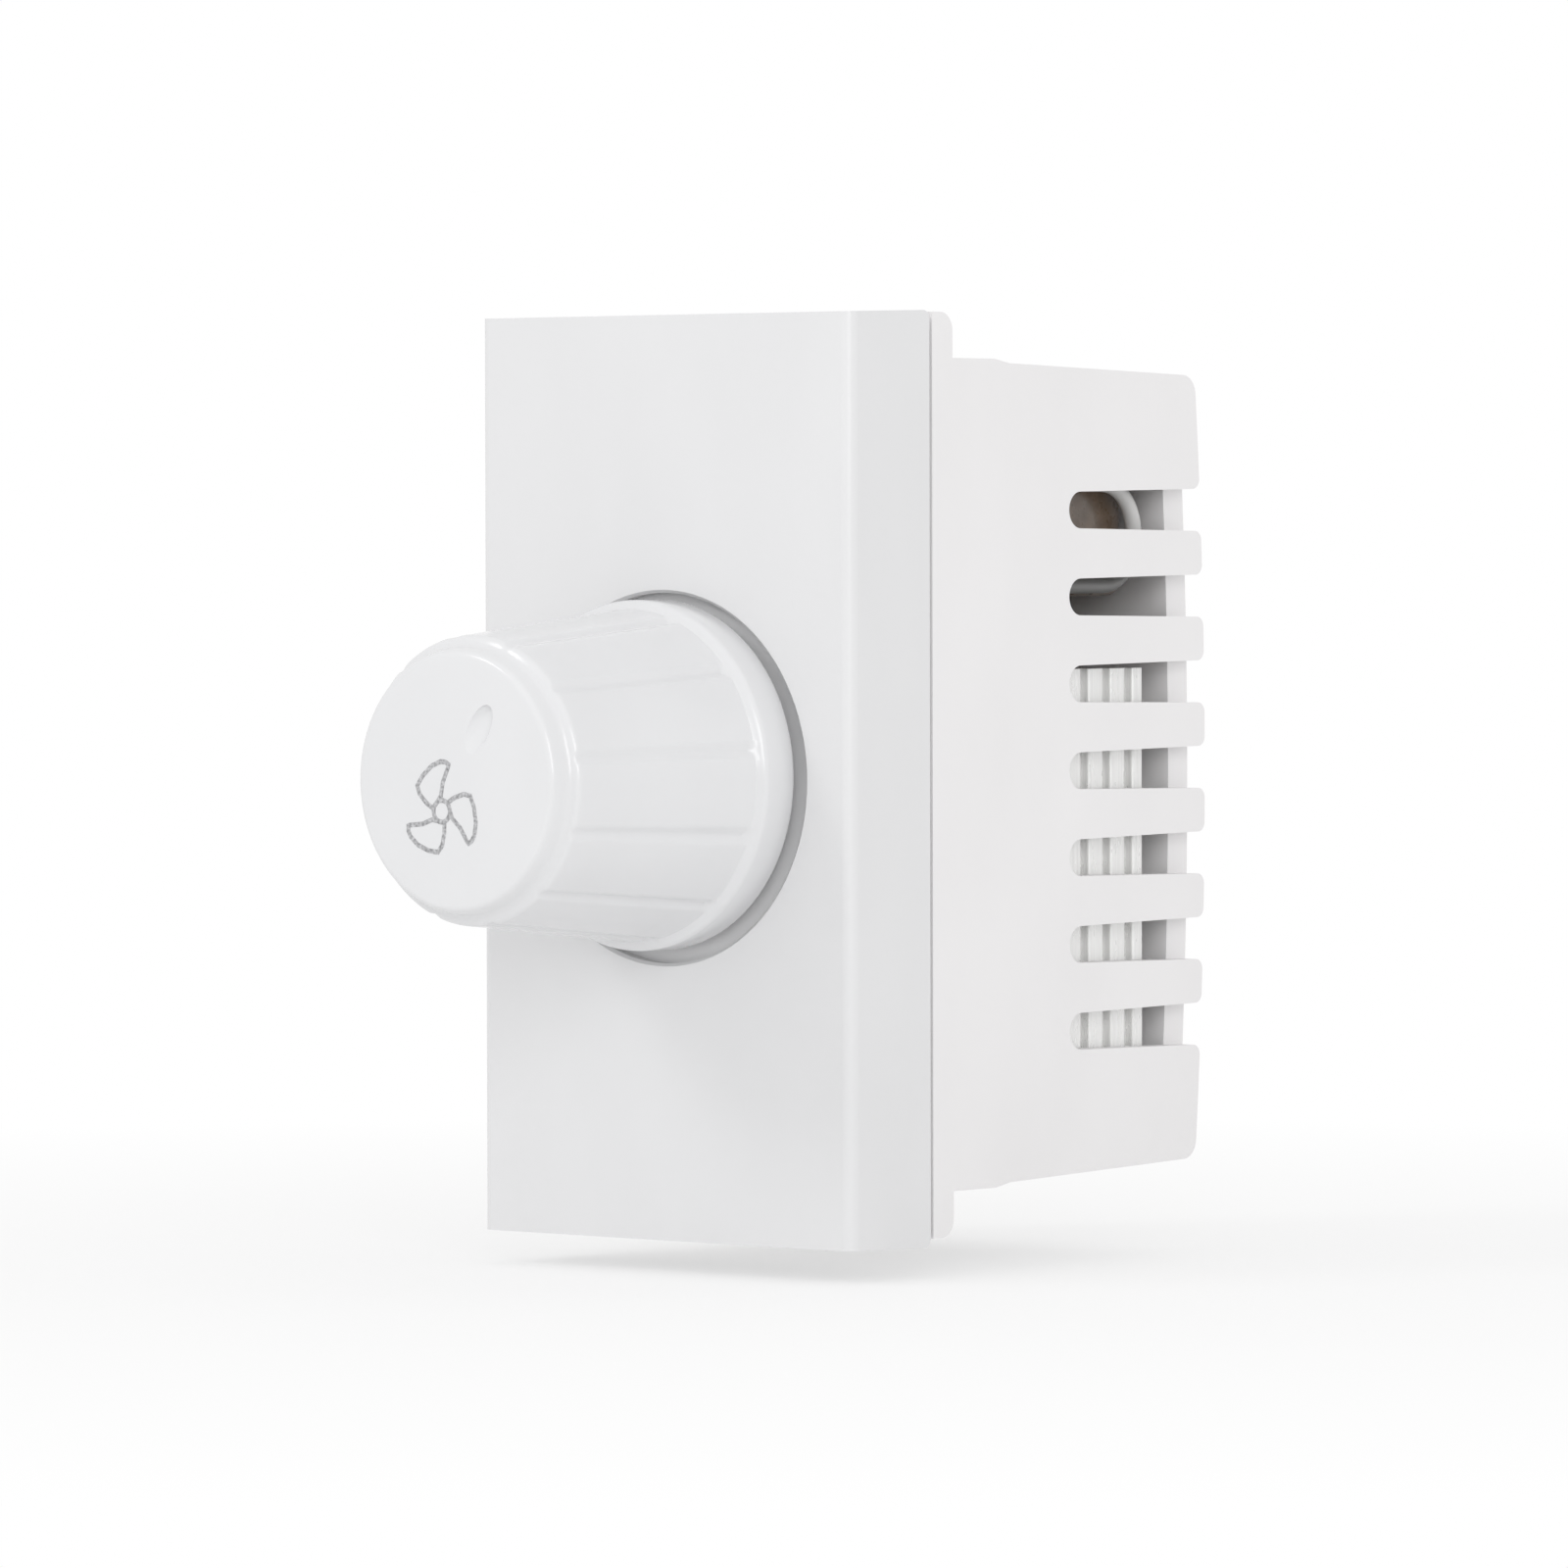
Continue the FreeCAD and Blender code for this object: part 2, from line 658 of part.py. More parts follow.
def rear_housing():
    """White rear moulding: its side profile padded, hollowed, vented and fitted with posts."""
    housing = body("rear_housing")
    half_rear = BODY_REAR_HEIGHT / 2
    rear_radius = (half_rear * half_rear + D.rear_bulge * D.rear_bulge) / (D.rear_bulge * 2)
    corner_y = D.housing_depth - D.rear_bulge
    ramp_y = D.pad_length + D.ramp_length
    lower = [
        (RIM_Y, FLANGE_HEIGHT / -2),
        (0, FLANGE_HEIGHT / -2),
        (0, PAD_HEIGHT / -2),
        (D.pad_length, PAD_HEIGHT / -2),
        (ramp_y, BODY_FRONT_HEIGHT / -2),
        (corner_y, -half_rear),
    ]
    profile = sideways(housing, "profile")
    upper = [(y, -z) for y, z in reversed(lower)]
    outline(profile, lower + upper, {len(lower) - 1: rear_radius})
    pad(housing, profile, D.module_width, symmetric=True)

    def rear_edge(edge):
        return runs_along(edge, "x") and close(edge.CenterOfMass.y, corner_y.number)

    def flange_edge(edge):
        at_rim = close(abs(edge.CenterOfMass.z), FLANGE_HEIGHT.number / 2)
        return runs_along(edge, "x") and at_rim and close(edge.CenterOfMass.y, 0)

    fillet(housing, "rear_edges", D.rear_edge_radius, rear_edge)
    fillet(housing, "flange_edges", D.flange_edge_radius, flange_edge)

    centre_y = D.housing_depth - rear_radius
    inner_radius = rear_radius - D.rear_wall

    def on_arc(radius, z):
        return centre_y + square_root(radius * radius - z * z)

    hollow = sideways(housing, "hollow")
    mouth_y = RIM_Y * 2
    inner_y = on_arc(inner_radius, INNER_REAR_Z)
    inside = [
        (mouth_y, -INNER_FRONT_Z),
        (inner_y, -INNER_REAR_Z),
        (inner_y, INNER_REAR_Z),
        (mouth_y, INNER_FRONT_Z),
    ]
    outline(hollow, inside, {1: inner_radius})
    pocket(housing, hollow, INNER_X * 2, symmetric=True)

    vent = sideways(housing, "vent")
    vent_z = D.vent_spacing * (D.vent_count - 1) / -2
    front, rear = D.vent_front_height / 2, D.vent_rear_height / 2
    past_y = D.housing_depth + D.rear_wall
    outline(
        vent,
        [
            (D.vent_start, vent_z),
            (D.vent_start + front, vent_z - front),
            (past_y, vent_z - rear),
            (past_y, vent_z + rear),
            (D.vent_start + front, vent_z + front),
        ],
        {0: front, 4: front},
    )
    slot = pocket(housing, vent, D.module_width * 2, symmetric=True)
    vents = housing.newObject("PartDesign::LinearPattern", "housing_vents")
    vents.Originals = [slot]
    vents.Direction = (vent, ["V_Axis"])
    bind(vents, "Length", D.vent_spacing * (D.vent_count - 1))
    bind(vents, "Occurrences", D.vent_count)
    housing.Tip = vents

    zone_z = D.vent_spacing * D.vent_count / 2

    def tooth_edge(edge):
        across = runs_along(edge, "x") and close(edge.Length, D.module_width.number)
        outside = edge.CenterOfMass.y > corner_y.number - D.rear_wall.number / 2
        return across and outside and abs(edge.CenterOfMass.z) < zone_z.number

    fillet(housing, "tooth_edges", D.tooth_radius, tooth_edge)

    wall = sideways(housing, "rear_wall")
    strip = [
        (on_arc(inner_radius, zone_z), -zone_z),
        (on_arc(rear_radius, zone_z), -zone_z),
        (on_arc(rear_radius, zone_z), zone_z),
        (on_arc(inner_radius, zone_z), zone_z),
    ]
    outline(wall, strip, {1: rear_radius, 3: -inner_radius})
    pad(housing, wall, INNER_X * 2, symmetric=True)

    posts = facing(housing, "posts", BOARD_REAR_Y)
    near_x, far_x = INNER_X - D.post_size, INNER_X + D.side_wall / 2
    near_z = INNER_REAR_Z - D.board_clearance - D.post_overlap
    far_z = INNER_REAR_Z + D.end_wall / 2
    for left in (-1, 1):
        for low in (-1, 1):
            xs = sorted((near_x * left, far_x * left), key=lambda s: s.number)
            zs = sorted((near_z * low, far_z * low), key=lambda s: s.number)
            rectangle(posts, *xs, *zs)
    pad(housing, posts, INNER_REAR_Y + D.rear_wall / 2 - BOARD_REAR_Y, back=True)

    latches = level(housing, "latches")
    latch_start = D.barb_start - D.latch_clearance
    latch_end = D.barb_start + D.barb_length + D.latch_clearance
    half_latch = D.leg_width / 2 + D.latch_clearance
    for place in (D.leg_place, -D.leg_place):
        rectangle(latches, place - half_latch, place + half_latch, latch_start, latch_end)
    latch_z = INNER_FRONT_Z - D.leg_clearance + D.barb_height + D.latch_clearance + D.plate_drop
    pocket(housing, latches, latch_z * 2, symmetric=True)

    window = level(housing, "wire_window", BLOCK_BOTTOM_Z)
    half_window = D.wire_entry_radius + D.window_margin
    xs = (POLE_XS[0] - half_window, POLE_XS[1] + half_window)
    rectangle(window, *xs, WIRE_Y - half_window, WIRE_Y + half_window)
    pocket(housing, window, D.end_wall * 2)

    driver = facing(housing, "driver_holes", BLOCK_REAR_Y)
    for pole in POLE_XS:
        circle(driver, pole, PILLAR_Z, D.driver_hole_radius)
    pocket(housing, driver, D.housing_depth - BLOCK_REAR_Y + D.rear_wall)
    return housing


def knob():
    """White hollow knob: bevelled cap, fluted tapering grip, plain collar and a D-bored boss."""
    made = body("knob")
    bore = D.shaft_radius + D.running_clearance
    profile = level(made, "profile")
    outline(
        profile,
        [
            (0, KNOB_FRONT_Y),
            (D.grip_front_radius - D.shoulder, KNOB_FRONT_Y),
            (D.grip_front_radius, KNOB_FRONT_Y + D.shoulder),
            (D.grip_rear_radius, COLLAR_Y),
            (D.collar_radius, COLLAR_Y),
            (D.collar_radius, KNOB_RIM_Y),
            (D.collar_radius - D.knob_wall, KNOB_RIM_Y),
            (D.grip_front_radius - D.knob_wall, KNOB_INNER_Y),
            (D.boss_radius, KNOB_INNER_Y),
            (D.boss_radius, BOSS_Y),
            (bore, BOSS_Y),
            (bore, KNOB_INNER_Y),
            (0, KNOB_INNER_Y),
        ],
    )
    revolve(made, profile)

    key = facing(made, "bore_flat", KNOB_INNER_Y)
    flat = D.shaft_flat + D.running_clearance
    rectangle(key, -bore, bore, flat, D.shaft_radius - D.running_clearance)
    pad(made, key, BOSS_Y - KNOB_INNER_Y, back=True)

    ribs = facing(made, "ribs", KNOB_INNER_Y)
    inner, outer = (D.boss_radius + bore) / 2, D.grip_front_radius - D.knob_wall / 2
    half_rib = D.rib_thickness / 2
    rectangle(ribs, inner, outer, -half_rib, half_rib)
    rectangle(ribs, -outer, -inner, -half_rib, half_rib)
    rectangle(ribs, -half_rib, half_rib, inner, outer)
    rectangle(ribs, -half_rib, half_rib, -outer, -inner)
    pad(made, ribs, D.rib_length, back=True)

    flute = sideways(made, "flute")
    flute_end = KNOB_FRONT_Y + D.shoulder + D.flute_end_gap
    floor = [
        (COLLAR_Y, D.grip_rear_radius - D.flute_depth),
        (COLLAR_Y, D.collar_radius),
        (flute_end, D.collar_radius),
        (flute_end, D.grip_front_radius - D.flute_end_depth),
    ]
    outline(flute, floor)
    flute.AttachmentOffset = FreeCAD.Placement(
        Vector(), FreeCAD.Rotation(Vector(1, 0, 0), D.flute_turn.number)
    )
    bind(flute, "AttachmentOffset.Rotation.Angle", D.flute_turn)
    groove = pocket(made, flute, D.flute_width, symmetric=True)
    flutes = made.newObject("PartDesign::PolarPattern", "knob_flutes")
    flutes.Originals = [groove]
    axis = next(item for item in made.Origin.OriginFeatures if item.Role == "Y_Axis")
    flutes.Axis = (axis, [""])
    flutes.Angle = 360.0
    bind(flutes, "Occurrences", D.flute_count)
    made.Tip = flutes

    dent = facing(made, "pointer", KNOB_FRONT_Y)
    half = D.pointer_width / 2
    near, far = D.pointer_distance - D.pointer_length / 2, D.pointer_distance + D.pointer_length / 2
    outline(
        dent,
        [
            (near + half, -half),
            (far - half, -half),
            (far, 0),
            (far - half, half),
            (near + half, half),
            (near, 0),
        ],
        {1: half, 2: half, 4: half, 5: half},
    )
    dent.AttachmentOffset = FreeCAD.Placement(
        Vector(0, 0, -KNOB_FRONT_Y.number), FreeCAD.Rotation(Vector(0, 0, 1), D.pointer_angle.number)
    )
    bind(dent, "AttachmentOffset.Rotation.Angle", D.pointer_angle)
    pocket(made, dent, D.pointer_depth)
    return made


def turned(name, points):
    """A piece turned round the knob's axis from radius and y."""
    made = body(name)
    profile = level(made, "profile")
    outline(profile, points)
    revolve(made, profile)
    return made


def pot_bushing():
    bore = D.shaft_radius + D.running_clearance
    return turned(
        "pot_bushing",
        [
            (bore, BUSHING_TIP_Y),
            (D.bushing_radius, BUSHING_TIP_Y),
            (D.bushing_radius, POT_Y),
            (D.pot_radius, POT_Y),
            (D.pot_radius, TRACK_Y),
            (bore, TRACK_Y),
        ],
    )


def bushing_washer():
    inner, front = D.bushing_radius + D.bushing_clearance, WELL_Y - D.washer_thickness
    return turned(
        "bushing_washer",
        [(inner, front), (D.washer_radius, front), (D.washer_radius, WELL_Y), (inner, WELL_Y)],
    )


def bushing_nut():
    made = body("bushing_nut")
    hexagon = facing(made, "hexagon", WELL_Y - D.washer_thickness)
    flat, corner = D.nut_width / 2, D.nut_width / math.sqrt(3)
    half = corner / 2
    outline(
        hexagon,
        [(flat, -half), (flat, half), (0, corner), (-flat, half), (-flat, -half), (0, -corner)],
    )
    pad(made, hexagon, D.nut_thickness)
    hole = facing(made, "thread", WELL_Y - D.washer_thickness)
    circle(hole, 0, 0, D.bushing_radius + D.running_clearance)
    pocket(made, hole, D.nut_thickness, back=True)
    return made


def pot_shaft():
    thrust_y = TRACK_Y + D.running_clearance
    made = turned(
        "pot_shaft",
        [
            (0, SHAFT_TIP_Y),
            (D.shaft_radius, SHAFT_TIP_Y),
            (D.shaft_radius, CLIP_FRONT_Y),
            (D.clip_groove_radius, CLIP_FRONT_Y),
            (D.clip_groove_radius, CLIP_REAR_Y),
            (D.shaft_radius, CLIP_REAR_Y),
            (D.shaft_radius, thrust_y),
            (D.thrust_radius, thrust_y),
            (D.thrust_radius, ROTOR_FRONT_Y),
            (D.spigot_radius, ROTOR_FRONT_Y),
            (D.spigot_radius, ROTOR_REAR_Y),
            (0, ROTOR_REAR_Y),
        ],
    )
    flat = sideways(made, "flat")
    rectangle(flat, KNOB_FRONT_Y, BOSS_Y, D.shaft_flat, D.shaft_radius * 2)
    pocket(made, flat, D.shaft_radius * 4, symmetric=True)
    return made


def shaft_clip():
    disc = rod("clip_disc", "y", CLIP_FRONT_Y, CLIP_REAR_Y, (0, 0), D.clip_radius)
    seat = D.clip_groove_radius + D.running_clearance
    bore = rod("clip_bore", "y", CLIP_FRONT_Y, CLIP_REAR_Y, (0, 0), seat)
    half = D.clip_gap / 2
    gap = box("clip_mouth", (-half, half), (CLIP_FRONT_Y, CLIP_REAR_Y), (-D.clip_radius, 0))
    return cut("clip", disc, fuse("clip_opening", [bore, gap]))


def wiper_rotor():
    bore = D.spigot_radius + D.running_clearance
    return turned(
        "wiper_rotor",
        [
            (bore, ROTOR_FRONT_Y),
            (D.rotor_radius, ROTOR_FRONT_Y),
            (D.rotor_radius, ROTOR_REAR_Y),
            (bore, ROTOR_REAR_Y),
        ],
    )


def wiper_spring():
    front = ROTOR_FRONT_Y - D.wiper_thickness
    leaf = rod("wiper_leaf", "y", front, ROTOR_FRONT_Y, (0, 0), D.rotor_radius)
    bind(leaf, "Angle", D.wiper_angle)
    inside = rod("wiper_inside", "y", front, ROTOR_FRONT_Y, (0, 0), D.wiper_inner_radius)
    return cut("wiper", leaf, inside)


def pot_can():
    inner, floor = D.pot_radius - D.can_wall, CAN_REAR_Y - D.can_wall
    made = turned(
        "pot_can",
        [
            (inner, TRACK_Y),
            (D.pot_radius, TRACK_Y),
            (D.pot_radius, CAN_REAR_Y),
            (0, CAN_REAR_Y),
            (0, floor),
            (inner, floor),
        ],
    )
    notch = facing(made, "notch", TRACK_Y)
    half = D.tongue_width / 2 + D.bushing_clearance
    rectangle(notch, -half, half, 0, D.pot_radius * 2)
    pocket(made, notch, D.wafer_thickness + D.pin_thickness + D.bushing_clearance)
    return made


def track_wafer():
    made = body("track_wafer")
    disc = facing(made, "disc", TRACK_Y)
    circle(disc, 0, 0, D.pot_radius - D.can_wall - D.bushing_clearance)
    pad(made, disc, D.wafer_thickness, back=True)
    tongue = facing(made, "tongue", TRACK_Y)
    rectangle(tongue, D.tongue_width / -2, D.tongue_width / 2, 0, D.tongue_height)
    pad(made, tongue, D.wafer_thickness, back=True)
    hole = facing(made, "hole", TRACK_Y)
    circle(hole, 0, 0, D.wafer_hole_radius)
    pocket(made, hole, D.wafer_thickness)
    return made


def pin_xs():
    return [D.pin_spacing * place for place in (-1, 0, 1)]


def pot_terminals():
    """Three flat tails riveted to the wafer's tongue and bent back through the board."""
    half, thick = D.pin_width / 2, D.pin_thickness
    rear_y = BOARD_REAR_Y + D.lead_tail
    tails = []
    for number, x in enumerate(pin_xs(), start=1):
        ends = (x - half, x + half)
        flat_y = (WAFER_REAR_Y, WAFER_REAR_Y + thick)
        flat = box(f"pin_flat_{number}", ends, flat_y, (D.pot_radius, D.pin_place + thick / 2))
        tail_z = (D.pin_place - thick / 2, D.pin_place + thick / 2)
        tail = box(f"pin_tail_{number}", ends, (WAFER_REAR_Y, rear_y), tail_z)
        tails.append(fuse(f"pin_{number}", [flat, tail]))
    return group("pins", tails)


def lead_places():
    """Where leads pass the board: x, z and half their width."""
    places = [(x, TRIAC_Z + D.triac_lead_spacing * place, D.triac_lead_width / 2)
              for x, place in ((TRIAC_LEAD_X, -1), (TRIAC_LEAD_X, 0), (TRIAC_LEAD_X, 1))]
    for end in (-0.5, 0.5):
        places.append((TIMING_X, TIMING_Z + D.timing_lead_spacing * end, D.lead_width / 2))
        places.append((SUPPRESSION_X, SUPPRESSION_Z + D.suppression_lead_spacing * end, D.lead_width / 2))
        places.append((CHOKE_X, CHOKE_Z + D.choke_lead_place * end * 2, D.lead_width / 2))
        for x in resistor_xs():
            places.append((x, RESISTOR_Z + D.resistor_span * end, D.lead_width / 2))
        places.append((DIAC_X, SUPPRESSION_Z + D.diac_span * end, D.lead_width / 2))
        places.append((FUSE_X + D.fuse_span * end, FUSE_Z, D.lead_width / 2))
    places += [(JUMPER_X, z, D.jumper_radius) for z in JUMPER_LEGS_Z]
    places += [(x, D.pin_place, D.pin_width / 2) for x in pin_xs()]
    places += [(x, PILLAR_Z, D.pin_width / 2) for x in POLE_XS]
    return places


def resistor_xs():
    return [RESISTOR_X + D.resistor_spacing * place for place in (0, 1)]


def circuit_board():
    made = body("circuit_board")
    edge = facing(made, "edge", BOARD_FRONT_Y)
    half_x, half_z = INNER_X - D.board_clearance, INNER_REAR_Z - D.board_clearance
    rectangle(edge, -half_x, half_x, -half_z, half_z)
    pad(made, edge, D.board_thickness, back=True)
    holes = facing(made, "lead_holes", BOARD_FRONT_Y)
    for x, z, half in lead_places():
        side = half + D.lead_hole_clearance
        rectangle(holes, x - side, x + side, z - side, z + side)
    pocket(made, holes, D.board_thickness)
    return made


def heat_sink():
    """Ribbed aluminium extrusion, sawn to length, with a tapped hole for the triac."""
    made = body("heat_sink")
    section = level(made, "section", SINK_BOTTOM_Z)
    root_x = SINK_X + D.sink_base
    tip = SINK_REAR_Y - D.end_fin_thickness
    count = int((tip - BOARD_REAR_Y).number / D.fin_spacing.number) + 1
    comb = [(SINK_X, SINK_REAR_Y), (SINK_X, BOARD_REAR_Y), (root_x, BOARD_REAR_Y)]
    for fin in reversed(range(count)):
        front = tip - D.fin_spacing * fin
        rear = front + D.fin_thickness if fin else SINK_REAR_Y
        comb += [(root_x, front), (SINK_TIP_X, front), (SINK_TIP_X, rear)]
        if fin:
            comb.append((root_x, rear))
    outline(section, comb)
    pad(made, section, D.sink_length)
    hole = sideways(made, "tapped_hole", SINK_X)
    circle(hole, TRIAC_HOLE_Y, TRIAC_Z, D.screw_radius + D.running_clearance)
    pocket(made, hole, D.sink_base, back=True)
    return made


def triac_body():
    made = body("triac_body")
    outer = sideways(made, "outer", TRIAC_X)
    half = D.triac_width / 2
    rectangle(outer, BOARD_REAR_Y + D.triac_lift, TRIAC_REAR_Y, TRIAC_Z - half, TRIAC_Z + half)
    pad(made, outer, D.triac_thickness)
    hole = sideways(made, "hole", TRIAC_X)
    circle(hole, TRIAC_HOLE_Y, TRIAC_Z, D.screw_radius + D.screw_clearance)
    pocket(made, hole, D.triac_thickness, back=True)
    return made


def triac_leads():
    half = D.triac_lead_width / 2
    thin = D.pin_thickness / 2
    leads = []
    for place in (-1, 0, 1):
        z = TRIAC_Z + D.triac_lead_spacing * place
        ys = (LEAD_END_Y, BOARD_REAR_Y + D.triac_lift)
        xs = (TRIAC_LEAD_X - thin, TRIAC_LEAD_X + thin)
        leads.append(box(f"triac_lead_{place + 2}", xs, ys, (z - half, z + half)))
    return group("triac_lead_set", leads)


def triac_screw():
    head_x = TRIAC_X - D.screw_head_height
    axis = (TRIAC_HOLE_Y, TRIAC_Z)
    head = rod("triac_screw_head", "x", head_x, TRIAC_X, axis, D.screw_head_radius)
    shank = rod("triac_screw_shank", "x", TRIAC_X, SINK_X + D.sink_base, axis, D.screw_radius)
    return fuse("triac_screw_whole", [head, shank])


def straight_leads(name, places, ends):
    """Straight square leads along y at each x and z."""
    made = []
    half = D.lead_width / 2
    for number, (x, z) in enumerate(places, start=1):
        made.append(box(f"{name}_{number}", (x - half, x + half), ends, (z - half, z + half)))
    return group(f"{name}_set", made)


def timing_capacitor():
    half_x, half_z = D.timing_thickness / 2, D.timing_width / 2
    ys = (BOARD_REAR_Y + D.timing_lift, INNER_REAR_Y - D.timing_rear_gap)
    xs, zs = (TIMING_X - half_x, TIMING_X + half_x), (TIMING_Z - half_z, TIMING_Z + half_z)
    return soften("timing_dip", box("timing_block", xs, ys, zs), D.timing_round, "y")


def timing_capacitor_leads():
    places = [(TIMING_X, TIMING_Z + D.timing_lead_spacing * end) for end in (-0.5, 0.5)]
    return straight_leads("timing_lead", places, (LEAD_END_Y, BOARD_REAR_Y + D.timing_lift))


def suppression_capacitor():
    half_x = D.suppression_thickness / 2
    xs = (SUPPRESSION_X - half_x, SUPPRESSION_X + half_x)
    ys = (BOARD_REAR_Y, INNER_REAR_Y - D.suppression_rear_gap)
    block = box("suppression_block", xs, ys, (SUPPRESSION_BOTTOM_Z, SUPPRESSION_TOP_Z))
    return soften("suppression_case", block, D.suppression_round, "y")


def suppression_capacitor_leads():
    pitch = D.suppression_lead_spacing
    places = [(SUPPRESSION_X, SUPPRESSION_Z + pitch * end) for end in (-0.5, 0.5)]
    return straight_leads("suppression_lead", places, (LEAD_END_Y, BOARD_REAR_Y))


def choke_core():
    axis = (CHOKE_X, CHOKE_Z)
    top = BOARD_REAR_Y + D.choke_height
    foot = rod("choke_foot", "y", BOARD_REAR_Y, BOARD_REAR_Y + D.choke_flange, axis, D.choke_radius)
    stem = rod("choke_stem", "y", BOARD_REAR_Y, top, axis, D.choke_core_radius)
    head = rod("choke_head", "y", top - D.choke_flange, top, axis, D.choke_radius)
    return fuse("choke_drum", [foot, stem, head])


def choke_winding():
    axis = (CHOKE_X, CHOKE_Z)
    ends = (BOARD_REAR_Y + D.choke_flange, BOARD_REAR_Y + D.choke_height - D.choke_flange)
    coil = rod("choke_coil", "y", *ends, axis, D.choke_winding_radius)
    bore = rod("choke_bore", "y", *ends, axis, D.choke_core_radius)
    return cut("choke_turns", coil, bore)


def choke_leads():
    places = [(CHOKE_X, CHOKE_Z + D.choke_lead_place * end) for end in (-1, 1)]
    return straight_leads("choke_lead", places, (LEAD_END_Y, BOARD_REAR_Y))


def axial_leads(name, places, span, length, radius, axis="z", lift=D.axial_lift):
    """Pairs of leads bent down from an axial part's ends into the board."""
    y = BOARD_REAR_Y + lift + radius
    half = D.lead_width / 2
    leads = []
    for number, (x, z) in enumerate(places, start=1):
        along, across = (x, z) if axis == "x" else (z, x)
        width = (across - half, across + half)
        for side, sign in (("low", -0.5), ("high", 0.5)):
            foot, tip = along + span * sign, along + length * sign
            reach = sorted((foot + D.lead_width * sign, tip), key=lambda size: size.number)
            leg_ends, leg_ys = (foot - half, foot + half), (LEAD_END_Y, y + half)
            arm_ys = (y - half, y + half)
            leg = (leg_ends, leg_ys, width) if axis == "x" else (width, leg_ys, leg_ends)
            arm = (reach, arm_ys, width) if axis == "x" else (width, arm_ys, reach)
            pieces = [
                box(f"{name}_{side}_leg_{number}", *leg),
                box(f"{name}_{side}_arm_{number}", *arm),
            ]
            leads.append(fuse(f"{name}_{side}_{number}", pieces))
    return group(name, leads)


def resistors():
    places = [(x, RESISTOR_Z) for x in resistor_xs()]
    bars = [
        axial_body(f"resistor_{number}", *place, D.resistor_length, D.resistor_radius)
        for number, place in enumerate(places, start=1)
    ]
    return group("resistor_set", bars)


def resistor_leads():
    places = [(x, RESISTOR_Z) for x in resistor_xs()]
    return axial_leads("resistor_wires", places, D.resistor_span, D.resistor_length, D.resistor_radius)


def axial_body(name, x, z, length, radius, axis="z", lift=D.axial_lift):
    """The round body of an axial part that lies on the board."""
    y = BOARD_REAR_Y + lift + radius
    along, across = (x, (y, z)) if axis == "x" else (z, (x, y))
    return rod(f"{name}_bar", axis, along - length / 2, along + length / 2, across, radius)


def jumper_wire():
    """White insulated wire that loops back over the timing capacitor."""
    turn_y = JUMPER_REAR_Y - D.jumper_bend
    pieces = []
    for name, z in zip(("upper", "lower"), JUMPER_LEGS_Z):
        pieces.append(rod(f"jumper_{name}_leg", "y", LEAD_END_Y, turn_y, (JUMPER_X, z), D.jumper_radius))
    turn = DOC.addObject("Part::Torus", "jumper_turn")
    turn.Placement = FreeCAD.Placement(Vector(), FreeCAD.Rotation(Vector(0, 1, 0), -90))
    bind(turn, "Radius1", D.jumper_bend)
    bind(turn, "Radius2", D.jumper_radius)
    turn.Angle3 = 180
    for axis, place in zip("xyz", (JUMPER_X, turn_y, JUMPER_Z)):
        bind(turn, f"Placement.Base.{axis}", place)
    return fuse("jumper_loop", pieces + [turn])


def terminal_block():
    """Two-pole block: chambers open to the board, screw holes at the back, wire holes below."""
    made = body("terminal_block")
    right = BLOCK_X + D.terminal_spacing * 2
    base = facing(made, "base", BOARD_REAR_Y)
    rectangle(base, BLOCK_X, right, BLOCK_BOTTOM_Z, BLOCK_TOP_Z)
    pad(made, base, BLOCK_REAR_Y - BOARD_REAR_Y, back=True)
    chambers = facing(made, "chambers", BOARD_REAR_Y)
    half = D.pillar_width / 2 + D.pillar_clearance
    for pole in POLE_XS:
        zs = (PILLAR_BOTTOM_Z - D.pillar_clearance, PILLAR_TOP_Z + D.pillar_clearance)
        rectangle(chambers, pole - half, pole + half, *zs)
    pocket(made, chambers, PILLAR_REAR_Y - BOARD_REAR_Y)
    driver = facing(made, "driver_holes", PILLAR_REAR_Y)
    for pole in POLE_XS:
        circle(driver, pole, PILLAR_Z, D.clamp_head_radius + D.clamp_clearance)
    pocket(made, driver, D.pillar_roof)
    entries = level(made, "wire_entries", PILLAR_BOTTOM_Z)
    for pole in POLE_XS:
        circle(entries, pole, WIRE_Y, D.wire_entry_radius)
    pocket(made, entries, D.pillar_entry)
    return made


def terminal_pillars():
    """Brass pillars with a wire hole, a tapped hole for the screw and a board pin."""
    pillars = []
    half, pin = D.pillar_width / 2, D.pin_width / 2
    for number, x in enumerate(POLE_XS, start=1):
        ends = (x - half, x + half)
        block = box(f"pillar_{number}", ends, (PILLAR_Y, PILLAR_REAR_Y), (PILLAR_BOTTOM_Z, PILLAR_TOP_Z))
        thin = D.pin_thickness / 2
        foot = box(
            f"pillar_pin_{number}",
            (x - thin, x + thin),
            (LEAD_END_Y, PILLAR_Y),
            (PILLAR_Z - pin, PILLAR_Z + pin),
        )
        wire = rod(f"wire_hole_{number}", "z", PILLAR_BOTTOM_Z, PILLAR_TOP_Z, (x, WIRE_Y), D.wire_radius)
        thread_radius = D.clamp_radius + D.running_clearance
        thread = rod(f"thread_{number}", "y", WIRE_Y, PILLAR_REAR_Y, (x, PILLAR_Z), thread_radius)
        whole = fuse(f"pillar_whole_{number}", [block, foot])
        pillars.append(cut(f"pillar_bored_{number}", whole, fuse(f"pillar_holes_{number}", [wire, thread])))
    return group("pillar_set", pillars)


